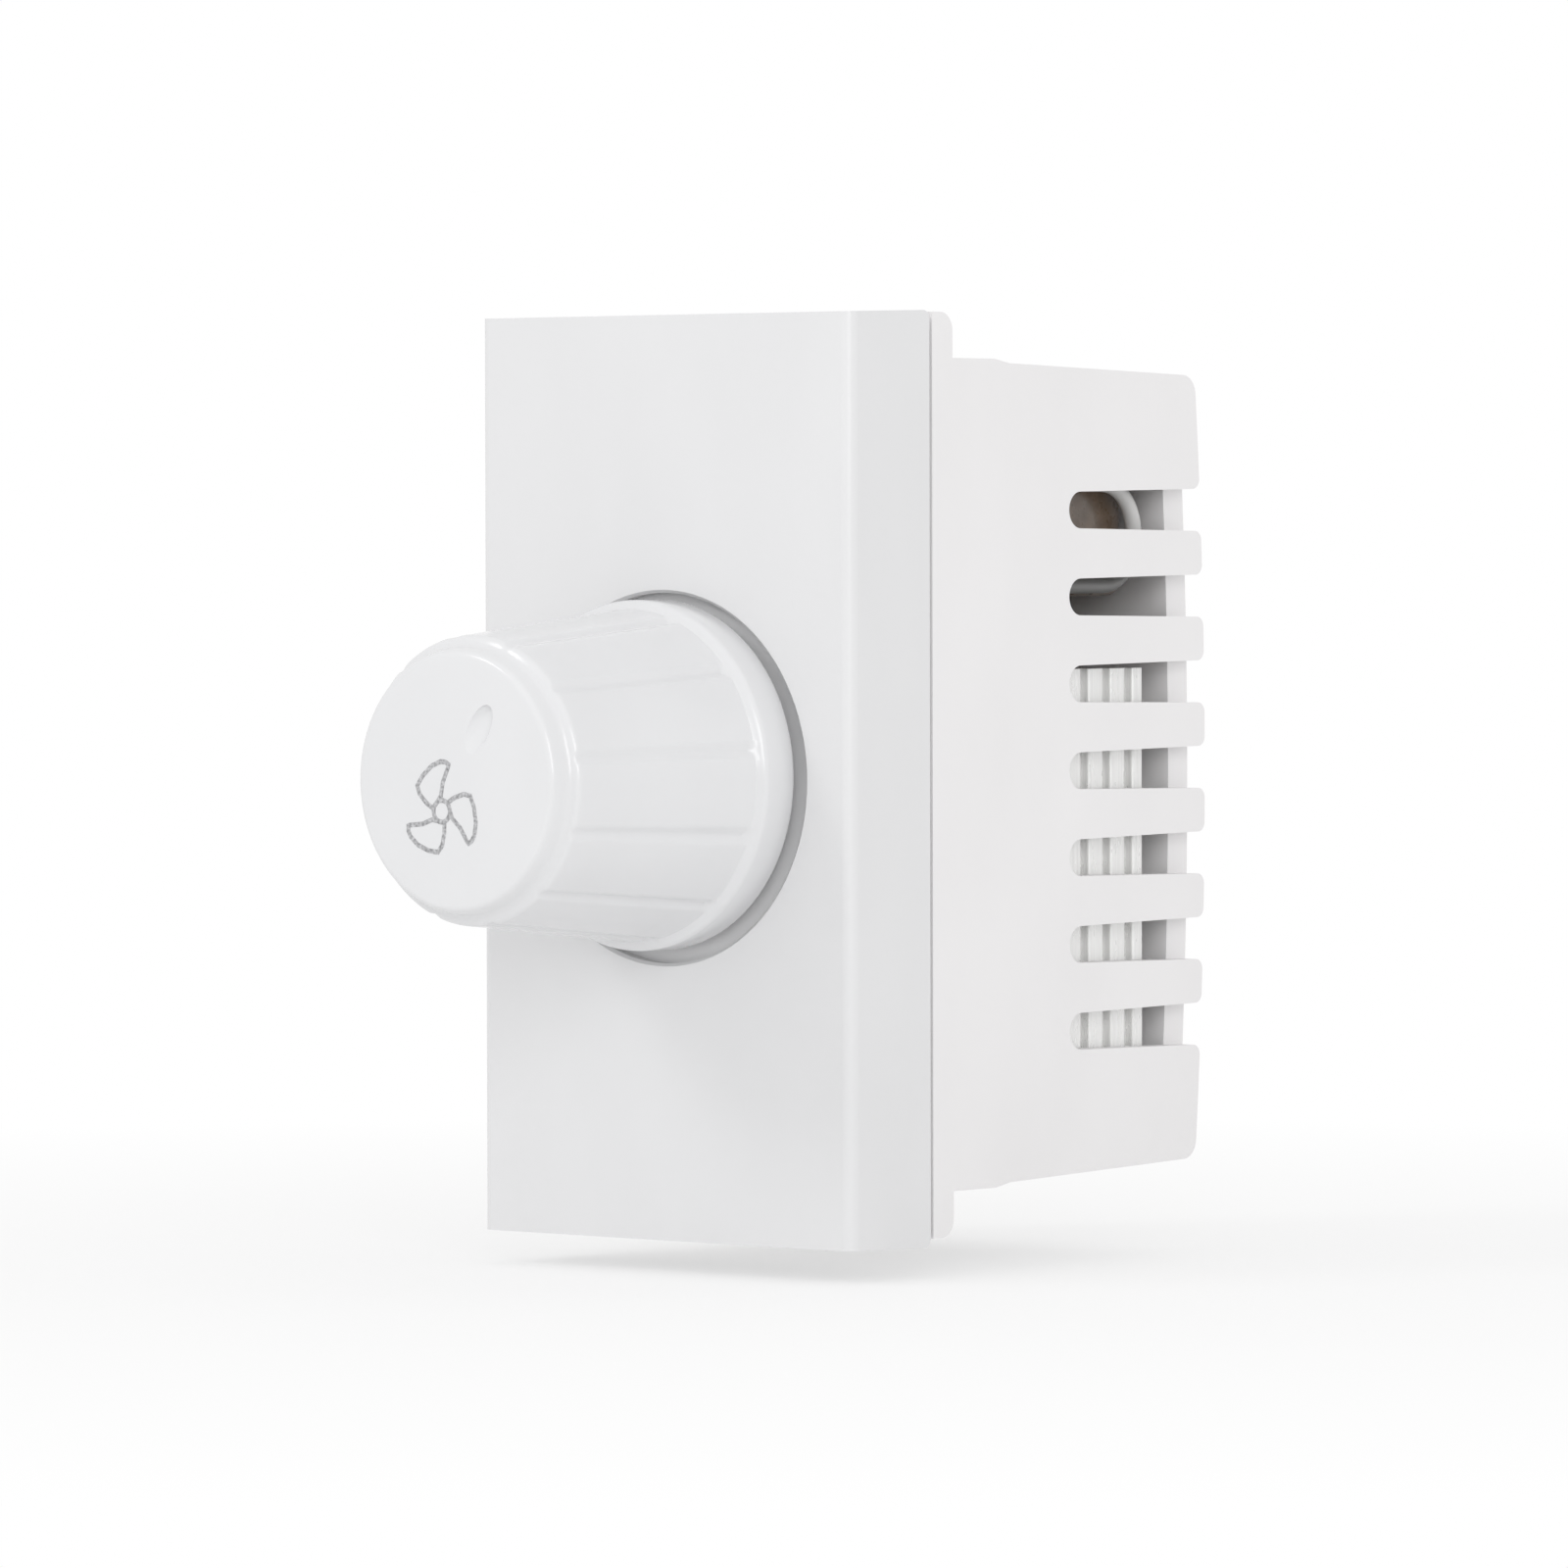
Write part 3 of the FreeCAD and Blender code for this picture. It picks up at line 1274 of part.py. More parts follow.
def terminal_screws():
    screws = []
    tip = WIRE_Y + D.wire_radius + D.clamp_clearance
    top = PILLAR_REAR_Y + D.clamp_head_height
    half = D.clamp_slot / 2
    for number, x in enumerate(POLE_XS, start=1):
        axis = (x, PILLAR_Z)
        shank = rod(f"clamp_shank_{number}", "y", tip, top, axis, D.clamp_radius)
        head = rod(f"clamp_head_{number}", "y", PILLAR_REAR_Y, top, axis, D.clamp_head_radius)
        slot = box(
            f"clamp_slot_{number}",
            (x - D.clamp_head_radius, x + D.clamp_head_radius),
            (top - D.clamp_slot, top),
            (PILLAR_Z - half, PILLAR_Z + half),
        )
        screws.append(cut(f"clamp_{number}", fuse(f"clamp_whole_{number}", [shank, head]), slot))
    return group("clamp_set", screws)


BUILDERS = [
    front_plate,
    rear_housing,
    knob,
    pot_bushing,
    bushing_washer,
    bushing_nut,
    pot_shaft,
    shaft_clip,
    wiper_rotor,
    wiper_spring,
    pot_can,
    track_wafer,
    pot_terminals,
    circuit_board,
    heat_sink,
    triac_body,
    triac_leads,
    triac_screw,
    timing_capacitor,
    timing_capacitor_leads,
    suppression_capacitor,
    suppression_capacitor_leads,
    choke_core,
    choke_winding,
    choke_leads,
    resistors,
    resistor_leads,
    jumper_wire,
    terminal_block,
    terminal_pillars,
    terminal_screws,
]
for builder in BUILDERS:
    keep(builder.__name__, builder())

diac_at = (DIAC_X, SUPPRESSION_Z)
fuse_at = (FUSE_X, FUSE_Z)
keep("diac", axial_body("diac_glass", *diac_at, D.diac_length, D.diac_radius))
keep("diac_leads", axial_leads("diac_wires", [diac_at], D.diac_span, D.diac_length, D.diac_radius))
fuse_sizes = (D.fuse_length, D.fuse_radius, "x", D.fuse_lift)
keep("fuse", axial_body("fuse_sleeve", *fuse_at, *fuse_sizes))
keep("fuse_leads", axial_leads("fuse_wires", [fuse_at], D.fuse_span, *fuse_sizes))

DOC.recompute()
failed = [item.Name for item in DOC.Objects if {"Invalid", "Error"} & set(item.State)]
if failed:
    raise RuntimeError(f"failed objects: {failed}")
for part in SUBPARTS:
    if part.Shape.isNull() or not part.Shape.isValid() or not part.Shape.Solids:
        raise RuntimeError(f"{part.Label} has no valid solid")

os.makedirs("parts", exist_ok=True)
for part in SUBPARTS:
    part.Shape.exportStep(f"parts/{part.Label}.step")
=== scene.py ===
"""Dress for the fan speed control switch: soft pieces, finishes, stage and camera."""

from math import atan2, cos, hypot, pi, radians, sin, sqrt

import bmesh
import bpy
from bpy.props import FloatProperty, FloatVectorProperty, IntProperty, PointerProperty
from mathutils import Matrix, Vector


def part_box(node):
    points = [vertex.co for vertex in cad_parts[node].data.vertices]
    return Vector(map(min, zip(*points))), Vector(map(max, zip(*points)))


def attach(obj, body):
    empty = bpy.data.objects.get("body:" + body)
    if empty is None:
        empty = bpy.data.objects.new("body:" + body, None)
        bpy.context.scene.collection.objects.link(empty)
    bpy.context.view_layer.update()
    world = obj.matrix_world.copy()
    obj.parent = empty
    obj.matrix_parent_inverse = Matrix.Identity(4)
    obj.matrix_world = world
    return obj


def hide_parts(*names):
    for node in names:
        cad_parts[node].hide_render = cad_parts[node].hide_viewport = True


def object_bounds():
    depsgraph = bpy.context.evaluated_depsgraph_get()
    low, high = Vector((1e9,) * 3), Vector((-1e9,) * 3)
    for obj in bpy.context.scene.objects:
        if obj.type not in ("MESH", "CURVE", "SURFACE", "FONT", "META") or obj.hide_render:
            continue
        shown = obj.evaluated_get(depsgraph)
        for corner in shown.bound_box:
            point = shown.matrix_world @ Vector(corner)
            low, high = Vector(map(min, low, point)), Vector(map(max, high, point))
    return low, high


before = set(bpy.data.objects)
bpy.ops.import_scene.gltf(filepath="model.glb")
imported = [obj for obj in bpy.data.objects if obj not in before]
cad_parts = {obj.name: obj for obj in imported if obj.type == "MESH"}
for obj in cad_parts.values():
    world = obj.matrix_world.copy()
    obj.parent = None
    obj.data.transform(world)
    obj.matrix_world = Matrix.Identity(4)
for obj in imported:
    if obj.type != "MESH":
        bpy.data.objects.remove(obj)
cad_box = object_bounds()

bl_info = {
    "name": "Fan switch dress",
    "version": (1, 0, 0),
    "blender": (4, 5, 0),
    "location": "View3D > Sidebar > Fan switch",
    "description": "Models the soft pieces of a fan speed switch and gives it its finishes and stage",
    "category": "Object",
}

MM = 0.001
# Points closer than this count as level with each other.
SAME_PLACE = 0.001 * MM
# Vertices closer than this are merged.
MERGE_GAP = 0.0008 * MM
# Faces that meet at less than this many degrees are shaded as one surface.
SMOOTH_ANGLE = 32

KNOB_LOW, KNOB_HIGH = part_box("knob")
SINK_LOW, SINK_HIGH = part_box("heat_sink")
DIP_LOW, DIP_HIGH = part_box("timing_capacitor")
COIL_LOW, COIL_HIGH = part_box("choke_winding")
FACE_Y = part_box("front_plate")[0].y


def length(name, description, default):
    """A length property, in metres."""
    return FloatProperty(name=name, description=description, default=default, unit="LENGTH", precision=5)


def angle(name, description, degrees):
    """An angle property, given in degrees."""
    return FloatProperty(name=name, description=description, default=radians(degrees), subtype="ANGLE")


def place(name, description, default):
    """A place property, in metres."""
    return FloatVectorProperty(
        name=name, description=description, default=default, size=len(default), subtype="XYZ", unit="LENGTH"
    )


def colour(name, description, default):
    """A colour property."""
    return FloatVectorProperty(
        name=name, description=description, default=default, subtype="COLOR", size=3, min=0, max=1
    )


class FanSwitchKnob(bpy.types.PropertyGroup):
    """Sizes of the turning knob."""

    collar_length: length("Collar length", "Length of the plain ring next to the plate", 2.1 * MM)
    collar_radius: length("Collar radius", "Radius of the plain ring next to the plate", 8.45 * MM)
    grip_rear_radius: length("Grip radius, rear", "Radius of the fluted grip at the collar", 8.0 * MM)
    grip_front_radius: length("Grip radius, front", "Radius of the fluted grip at its crest", 6.87 * MM)
    shoulder: length("Shoulder", "Length of the stepped shoulder from the face to the crest", 1.12 * MM)
    band_radius: length("Band radius", "Radius of the shoulder's band below the crest", 6.4 * MM)
    face_radius: length("Face radius", "Radius of the knob's flat face", 6.14 * MM)
    wall: length("Wall", "Thickness of the knob's skirt", 1.2 * MM)
    front_wall: length("Front wall", "Thickness of the knob's face", 1.8 * MM)
    boss_radius: length("Boss radius", "Outer radius of the boss that takes the shaft", 4.5 * MM)
    bore_radius: length("Bore radius", "Radius of the bore for the shaft", 3.05 * MM)
    boss_end: length("Boss end", "Gap from the collar's rim to the boss's end", 2.55 * MM)
    flat: length("Flat", "Distance of the bore's flat from the axis", 1.55 * MM)
    rib_thickness: length("Rib thickness", "Thickness of the ribs from the boss to the skirt", 1.0 * MM)
    rib_length: length("Rib length", "Length of the ribs along the axis", 4.0 * MM)
    edge: length("Edge", "Rounding of the knob's edges", 0.24 * MM)
    flutes: IntProperty(name="Flutes", description="Number of grooves round the grip", default=12, min=0)
    flute_turn: angle("Flute turn", "Angle of the first groove from the switch's right-hand side", 9.7)
    flute_depth: length("Flute depth", "Depth of a groove at the collar", 0.17 * MM)
    flute_half: length("Flute half width", "Half the width of a groove", 0.42 * MM)


class FanSwitchMark(bpy.types.PropertyGroup):
    """Place and sizes of the printed pictogram and the pointer on the knob's face."""

    hub: place("Hub", "Place of the pictogram's hub, across and up", (-0.81 * MM, -1.42 * MM))
    hub_radius: length("Hub radius", "Outer radius of the hub's ring", 0.63 * MM)
    line: length("Line", "Width of the printed line", 0.23 * MM)
    ink: length("Ink", "Thickness of the printed ink", 0.012 * MM)
    pointer_distance: length("Pointer distance", "Distance of the pointer from the axis", 2.2 * MM)
    pointer_length: length("Pointer length", "Length of the pointer's dent", 2.8 * MM)
    pointer_width: length("Pointer width", "Width of the pointer's dent", 1.05 * MM)
    pointer_depth: length("Pointer depth", "Depth of the pointer's dent", 0.14 * MM)
    pointer_rise: length("Pointer rise", "Height of the dent's round tool over the face", 0.4 * MM)
    pointer_tilt: angle("Pointer tilt", "Tilt that sinks the dent's outer end", 14)
    pointer_angle: angle("Pointer angle", "Angle of the pointer from the switch's right-hand side", 58)


class FanSwitchInside(bpy.types.PropertyGroup):
    """Sizes of the parts seen through the vents."""

    sink_base: length("Sink base", "Thickness of the heat sink's base", 3.2 * MM)
    fin_thickness: length("Fin thickness", "Thickness of a heat sink fin", 1.15 * MM)
    end_fin_thickness: length("End fin thickness", "Thickness of the heat sink's rear fin", 0.82 * MM)
    fin_spacing: length("Fin spacing", "Distance from one fin to the next", 1.745 * MM)
    fin_round: length("Fin rounding", "Rounding of the fins' tips", 0.18 * MM)
    dip_round: length("Dip rounding", "Rounding of the dipped capacitor's coat", 0.7 * MM)
    dip_bead: length("Dip bead", "Thickness of the bead of coat at the capacitor's rear", 0.5 * MM)
    wire_radius: length("Wire radius", "Radius of the choke's enamelled wire", 0.24 * MM)
    wire_gap: length("Wire gap", "Gap between two turns of the choke", 0.01 * MM)


class FanSwitchColours(bpy.types.PropertyGroup):
    """Colours of the finishes."""

    plate: colour("Plate", "White of the front plate", (0.772, 0.772, 0.779))
    knob: colour("Knob", "White of the knob", (0.775, 0.777, 0.787))
    housing: colour("Housing", "White of the rear housing", (0.852, 0.842, 0.845))
    ink: colour("Ink", "Grey of the printed pictogram", (0.42, 0.42, 0.43))
    dip: colour("Dip", "Brown of the dipped capacitor", (0.20, 0.145, 0.105))
    alloy: colour("Alloy", "Aluminium of the heat sink", (0.88, 0.88, 0.87))
    insulation: colour("Insulation", "White of the jumper wire", (0.74, 0.74, 0.73))


class FanSwitchStage(bpy.types.PropertyGroup):
    """The picture's camera, lamps and floor."""

    azimuth: angle("Azimuth", "Turn of the camera to the right", 40.149)
    elevation: angle("Elevation", "Tilt of the camera from above", 1.529)
    roll: angle("Roll", "Roll of the camera", -0.12)
    distance: length("Distance", "Distance of the camera from the plate's face", 461.85 * MM)
    slide: length("Slide", "Sideways shift of the camera", 5.845 * MM)
    lift: length("Lift", "Upward shift of the camera", -0.278 * MM)
    target_height: length("Target height", "Height of the point that the camera is set from", -0.17 * MM)
    lens: FloatProperty(name="Lens", description="Focal length in millimetres", default=219.618)
    room: FloatProperty(name="Room", description="Level of the even studio light", default=0.8)
    key: FloatProperty(name="Key", description="Power of the soft lamp above, in watts", default=0.58)
    key_place: place("Key place", "Place of the soft lamp above", (-0.30, -0.50, 0.42))
    key_size: length("Key size", "Width of the soft lamp above", 170 * MM)
    fill: FloatProperty(name="Fill", description="Power of the right-hand lamp, in watts", default=0.95)
    fill_place: place("Fill place", "Place of the right-hand lamp", (0.46, -0.44, 0.18))
    fill_size: length("Fill size", "Width of the right-hand lamp", 280 * MM)
    floor_gap: length("Floor gap", "Gap from the switch down to the floor", 1.5 * MM)
    floor_radius: length("Floor radius", "Radius of the round floor", 500 * MM)
    floor_glow: FloatProperty(name="Floor glow", description="Share of glow in the shadow", default=0.6)
    shadow_near: length("Shadow, near", "Distance from the origin where the shadow starts to fade", 30 * MM)
    shadow_far: length("Shadow, far", "Distance from the origin where the shadow has gone", 120 * MM)


def rest_selection():
    """Go to object mode with nothing selected."""
    if bpy.context.mode != "OBJECT":
        bpy.ops.object.mode_set(mode="OBJECT")
    bpy.ops.object.select_all(action="DESELECT")


def settle(name):
    """Name the new primitive, put its place into its mesh and open it for editing."""
    piece = bpy.context.active_object
    piece.name = name
    piece.data.name = name
    bpy.ops.object.transform_apply(location=True, rotation=True, scale=True)
    bpy.ops.object.mode_set(mode="EDIT")
    return piece


def pick(piece, kind, test):
    """Select the vertices, edges or faces of the open piece that pass the test."""
    bpy.ops.mesh.select_mode(type=kind)
    bpy.ops.mesh.select_all(action="DESELECT")
    mesh = bmesh.from_edit_mesh(piece.data)
    items = {"VERT": mesh.verts, "EDGE": mesh.edges, "FACE": mesh.faces}[kind]
    chosen = [item for item in items if test(item)]
    if not chosen:
        raise RuntimeError(f"nothing on {piece.name} was selected")
    for item in chosen:
        item.select_set(True)
    mesh.select_flush_mode()
    bmesh.update_edit_mesh(piece.data)


def close_up(piece, smooth_angle=SMOOTH_ANGLE):
    """Merge doubles, point faces outwards, leave edit mode and smooth the shading."""
    bpy.ops.mesh.select_all(action="SELECT")
    bpy.ops.mesh.remove_doubles(threshold=MERGE_GAP)
    bpy.ops.mesh.normals_make_consistent(inside=False)
    rest_selection()
    piece.select_set(True)
    bpy.context.view_layer.objects.active = piece
    bpy.ops.object.shade_smooth_by_angle(angle=radians(smooth_angle))


def combine(piece, tool, operation):
    """Join the open tool to the piece or take it away from it, and remove the tool."""
    close_up(tool)
    rest_selection()
    piece.select_set(True)
    bpy.context.view_layer.objects.active = piece
    modifier = piece.modifiers.new("combine", "BOOLEAN")
    modifier.operation = operation
    modifier.object = tool
    modifier.solver = "EXACT"
    bpy.ops.object.modifier_apply(modifier=modifier.name)
    bpy.data.objects.remove(tool)


def hand_over(piece, body, material):
    """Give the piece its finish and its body."""
    piece.data.materials.clear()
    piece.data.materials.append(material)
    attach(piece, body)


def stand_for(piece, body, node):
    """Hand the piece over with the finish of a node, and let it stand for that node."""
    hand_over(piece, body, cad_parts[node].data.materials[0])
    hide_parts(node)


class Finish:
    """A material under construction, patterned on object coordinates."""

    # Most of the noise lies between these two values.
    NOISE_LOW = 0.3
    NOISE_HIGH = 0.7

    def __init__(self, name, **sockets):
        self.material = bpy.data.materials.new(name)
        self.material.use_nodes = True
        self.nodes = self.material.node_tree.nodes
        self.links = self.material.node_tree.links
        self.shader = self.nodes["Principled BSDF"]
        self.coordinates = self.nodes.new("ShaderNodeTexCoord").outputs["Object"]
        for socket, value in sockets.items():
            self.shader.inputs[socket.replace("_", " ")].default_value = value

    def noise(self, size, detail=3.0, stretch=(1, 1, 1)):
        """Noise with features of about the given size, in metres, drawn out by stretch."""
        mapping = self.nodes.new("ShaderNodeMapping")
        mapping.inputs["Scale"].default_value = [1 / (size * part) for part in stretch]
        made = self.nodes.new("ShaderNodeTexNoise")
        made.inputs["Scale"].default_value = 1.0
        made.inputs["Detail"].default_value = detail
        self.links.new(self.coordinates, mapping.inputs["Vector"])
        self.links.new(mapping.outputs["Vector"], made.inputs["Vector"])
        return made.outputs["Fac"]

    def along(self, axis):
        """The coordinate along one axis, in metres."""
        split = self.nodes.new("ShaderNodeSeparateXYZ")
        self.links.new(self.coordinates, split.inputs["Vector"])
        return split.outputs[axis]

    def spread(self, value, low, high, new_low, new_high):
        """The value moved from one range to another."""
        made = self.nodes.new("ShaderNodeMapRange")
        limits = {"From Min": low, "From Max": high, "To Min": new_low, "To Max": new_high}
        for socket, number in limits.items():
            made.inputs[socket].default_value = number
        self.links.new(value, made.inputs["Value"])
        return made.outputs["Result"]

    def ramp(self, value, stops, interpolation="LINEAR"):
        """Colour the value by (place, colour) stops."""
        made = self.nodes.new("ShaderNodeValToRGB")
        made.color_ramp.interpolation = interpolation
        elements = made.color_ramp.elements
        while len(elements) < len(stops):
            elements.new(1.0)
        for element, (position, shade) in zip(elements, stops):
            element.position = position
            element.color = (*shade, 1.0)
        self.links.new(value, made.inputs["Fac"])
        self.links.new(made.outputs["Color"], self.shader.inputs["Base Color"])

    def shades(self, noise, dark, light):
        """Colour the noise from dark to light."""
        self.ramp(noise, [(self.NOISE_LOW, dark), (self.NOISE_HIGH, light)])

    def tint(self, noise, shade, change):
        """Vary a colour by a share either side, following the noise."""
        dark = [part * (1 - change) for part in shade]
        light = [min(1.0, part * (1 + change)) for part in shade]
        self.shades(noise, dark, light)

    def roughness(self, noise, low, high):
        """Vary the roughness, following the noise."""
        varied = self.spread(noise, self.NOISE_LOW, self.NOISE_HIGH, low, high)
        self.links.new(varied, self.shader.inputs["Roughness"])

    def bump(self, noise, height, strength):
        """Raise the surface by the noise, by a height in metres."""
        made = self.nodes.new("ShaderNodeBump")
        made.inputs["Distance"].default_value = height
        made.inputs["Strength"].default_value = strength
        self.links.new(noise, made.inputs["Height"])
        self.links.new(made.outputs["Normal"], self.shader.inputs["Normal"])


def moulded(name, shade, rough, texture, grain=0.09 * MM, **sockets):
    """Moulded plastic: a faint flow mottle and the tool's texture."""
    made = Finish(name, **sockets)
    made.tint(made.noise(6 * MM, detail=2.0, stretch=(1, 1, 2)), shade, change=0.012)
    made.roughness(made.noise(1.6 * MM, detail=2.0), low=rough * 0.9, high=rough * 1.1)
    made.bump(made.noise(grain), height=0.004 * MM, strength=texture)
    return made.material


def drawn_metal(name, shade, rough, stretch):
    """Drawn or turned metal: fine lines along the way it was worked."""
    made = Finish(name, Metallic=1.0)
    lines = made.noise(0.12 * MM, stretch=stretch)
    made.tint(lines, shade, change=0.06)
    made.roughness(made.noise(0.9 * MM), low=rough * 0.8, high=rough * 1.25)
    made.bump(lines, height=0.006 * MM, strength=0.35)
    return made.material


def mottled(name, shade, change, size, rough, height, **sockets):
    """A cast, pressed or coated surface with soft mottling."""
    made = Finish(name, **sockets)
    made.tint(made.noise(size, detail=5.0), shade, change)
    made.roughness(made.noise(size * 2.5, detail=2.0), low=rough * 0.8, high=rough * 1.2)
    made.bump(made.noise(size * 0.4, detail=4.0), height, strength=0.3)
    return made.material


class FANSWITCH_OT_finishes(bpy.types.Operator):
    """Give every solid of the switch its finish."""

    bl_idname = "fanswitch.finishes"
    bl_label = "Finishes"

    def execute(self, context):
        colours = context.scene.fan_switch_colours
        turned = (5, 1, 5)
        tin = drawn_metal("tinned_copper", (0.62, 0.61, 0.58), rough=0.28, stretch=(1, 8, 1))
        zinc = drawn_metal("zinc_plated_steel", (0.60, 0.60, 0.59), rough=0.3, stretch=turned)
        finishes = {
            "front_plate": moulded(
                "plate_gloss_white", colours.plate, rough=0.24, texture=0.1, grain=2 * MM
            ),
            "rear_housing": moulded(
                "housing_satin_white", colours.housing, rough=0.5, texture=0.04, Specular_IOR_Level=0.1
            ),
            "knob": moulded("knob_gloss_white", colours.knob, rough=0.17, texture=0.1, grain=2 * MM),
            "pot_bushing": drawn_metal("turned_brass", (0.70, 0.53, 0.27), rough=0.24, stretch=turned),
            "bushing_washer": zinc,
            "bushing_nut": zinc,
            "pot_shaft": drawn_metal("turned_aluminium", (0.74, 0.74, 0.74), rough=0.3, stretch=turned),
            "shaft_clip": drawn_metal("spring_steel", (0.34, 0.34, 0.35), rough=0.3, stretch=turned),
            "wiper_rotor": moulded("rotor_black", (0.03, 0.03, 0.032), rough=0.4, texture=0.1),
            "wiper_spring": drawn_metal("spring_bronze", (0.66, 0.47, 0.27), rough=0.27, stretch=(6, 1, 1)),
            "pot_can": drawn_metal("pressed_steel_can", (0.66, 0.66, 0.64), rough=0.28, stretch=turned),
            "track_wafer": mottled(
                "phenolic_sheet", (0.24, 0.13, 0.06),
                change=0.22, size=0.7 * MM, rough=0.42, height=0.01 * MM,
            ),
            "pot_terminals": tin,
            "circuit_board": self.board(),
            "heat_sink": self.extrusion(colours.alloy),
            "triac_body": mottled(
                "triac_epoxy", (0.024, 0.024, 0.026),
                change=0.25, size=0.2 * MM, rough=0.5, height=0.008 * MM,
            ),
            "triac_leads": tin,
            "triac_screw": zinc,
            "timing_capacitor": self.dipped(colours.dip),
            "timing_capacitor_leads": tin,
            "suppression_capacitor": moulded(
                "capacitor_box_grey", (0.44, 0.46, 0.48), rough=0.4, texture=0.15
            ),
            "suppression_capacitor_leads": tin,
            "choke_core": mottled(
                "pressed_ferrite", (0.045, 0.045, 0.05),
                change=0.35, size=0.12 * MM, rough=0.55, height=0.01 * MM,
            ),
            "choke_winding": self.enamel(),
            "choke_leads": tin,
            "resistors": self.banded(),
            "resistor_leads": tin,
            "jumper_wire": self.insulation(colours.insulation),
            "terminal_block": moulded("terminal_grey", (0.50, 0.51, 0.50), rough=0.42, texture=0.12),
            "terminal_pillars": drawn_metal(
                "plated_brass", (0.68, 0.62, 0.48), rough=0.26, stretch=(1, 6, 1)
            ),
            "terminal_screws": zinc,
            "diac": mottled(
                "diac_glass", (0.06, 0.16, 0.33),
                change=0.15, size=0.5 * MM, rough=0.16, height=0.003 * MM, Coat_Weight=0.5,
            ),
            "diac_leads": tin,
            "fuse": mottled(
                "fuse_sleeve", (0.60, 0.58, 0.52),
                change=0.05, size=0.6 * MM, rough=0.45, height=0.01 * MM,
            ),
            "fuse_leads": tin,
        }
        for name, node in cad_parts.items():
            node.data.materials.clear()
            node.data.materials.append(finishes[name])
        return {"FINISHED"}

    def board(self):
        """Brown laminate with a faint fibre pattern."""
        made = Finish("board_laminate", Specular_IOR_Level=0.4)
        fibre = made.noise(0.35 * MM, detail=4.0, stretch=(6, 1, 1))
        made.shades(fibre, dark=(0.42, 0.27, 0.12), light=(0.52, 0.35, 0.17))
        made.roughness(fibre, low=0.4, high=0.55)
        made.bump(made.noise(0.2 * MM, stretch=(1, 1, 6)), height=0.01 * MM, strength=0.25)
        return made.material

    def extrusion(self, shade):
        """Mill-finish aluminium with die lines along its length."""
        made = Finish("extruded_aluminium", Metallic=0.3)
        lines = made.noise(0.10 * MM, stretch=(1, 1, 30))
        made.tint(lines, shade, change=0.05)
        made.roughness(made.noise(0.7 * MM, stretch=(1, 1, 4)), low=0.24, high=0.38)
        made.bump(lines, height=0.008 * MM, strength=0.3)
        return made.material

    def dipped(self, shade):
        """Glossy dipped coat, thicker and darker in places."""
        made = Finish("dipped_brown_coat", Coat_Weight=0.4, Coat_Roughness=0.12)
        made.tint(made.noise(1.6 * MM), shade, change=0.3)
        made.roughness(made.noise(0.5 * MM), low=0.24, high=0.36)
        made.bump(made.noise(0.9 * MM, detail=2.0), height=0.05 * MM, strength=0.35)
        return made.material

    def insulation(self, shade):
        """White plastic insulation with painted shade: greyer towards its lower leg."""
        low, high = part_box("jumper_wire")
        made = Finish("jumper_insulation")
        # Painted shade: the colour darkens towards the wire's lower leg, where it lies in shadow.
        painted_shade_share = 0.3
        painted_shade_grey = [part * painted_shade_share for part in shade]
        painted_shade_end, white_start = 0.2, 0.55
        height = made.spread(made.along("Z"), low.z, high.z, 0.0, 1.0)
        made.ramp(height, [(painted_shade_end, painted_shade_grey), (white_start, shade)])
        made.roughness(made.noise(0.8 * MM), low=0.36, high=0.48)
        made.bump(made.noise(0.3 * MM), height=0.01 * MM, strength=0.3)
        return made.material

    def enamel(self):
        """Red-brown enamelled copper wire."""
        made = Finish("enamelled_copper", Metallic=0.7, Coat_Weight=0.6, Coat_Roughness=0.1)
        lines = made.noise(0.25 * MM, stretch=(4, 1, 4))
        made.shades(lines, dark=(0.36, 0.12, 0.04), light=(0.52, 0.19, 0.07))
        made.roughness(lines, low=0.22, high=0.32)
        made.bump(lines, height=0.01 * MM, strength=0.3)
        return made.material

    def banded(self):
        """Tan lacquer with colour bands round the resistors."""
        low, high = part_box("resistors")
        made = Finish("banded_lacquer", Coat_Weight=0.3)
        tan = (0.55, 0.41, 0.26)
        brown = (0.13, 0.05, 0.02)
        black = (0.02, 0.02, 0.02)
        gold = (0.5, 0.33, 0.08)
        band_width = 0.08
        stops = [(0.0, tan)]
        for start, shade in ((0.16, brown), (0.34, black), (0.52, brown), (0.76, gold)):
            stops += [(start, shade), (start + band_width, tan)]
        height = made.spread(made.along("Z"), low.z, high.z, 0.0, 1.0)
        made.ramp(height, stops, "CONSTANT")
        made.roughness(made.noise(0.5 * MM), low=0.3, high=0.42)
        made.bump(made.noise(0.4 * MM), height=0.02 * MM, strength=0.3)
        return made.material


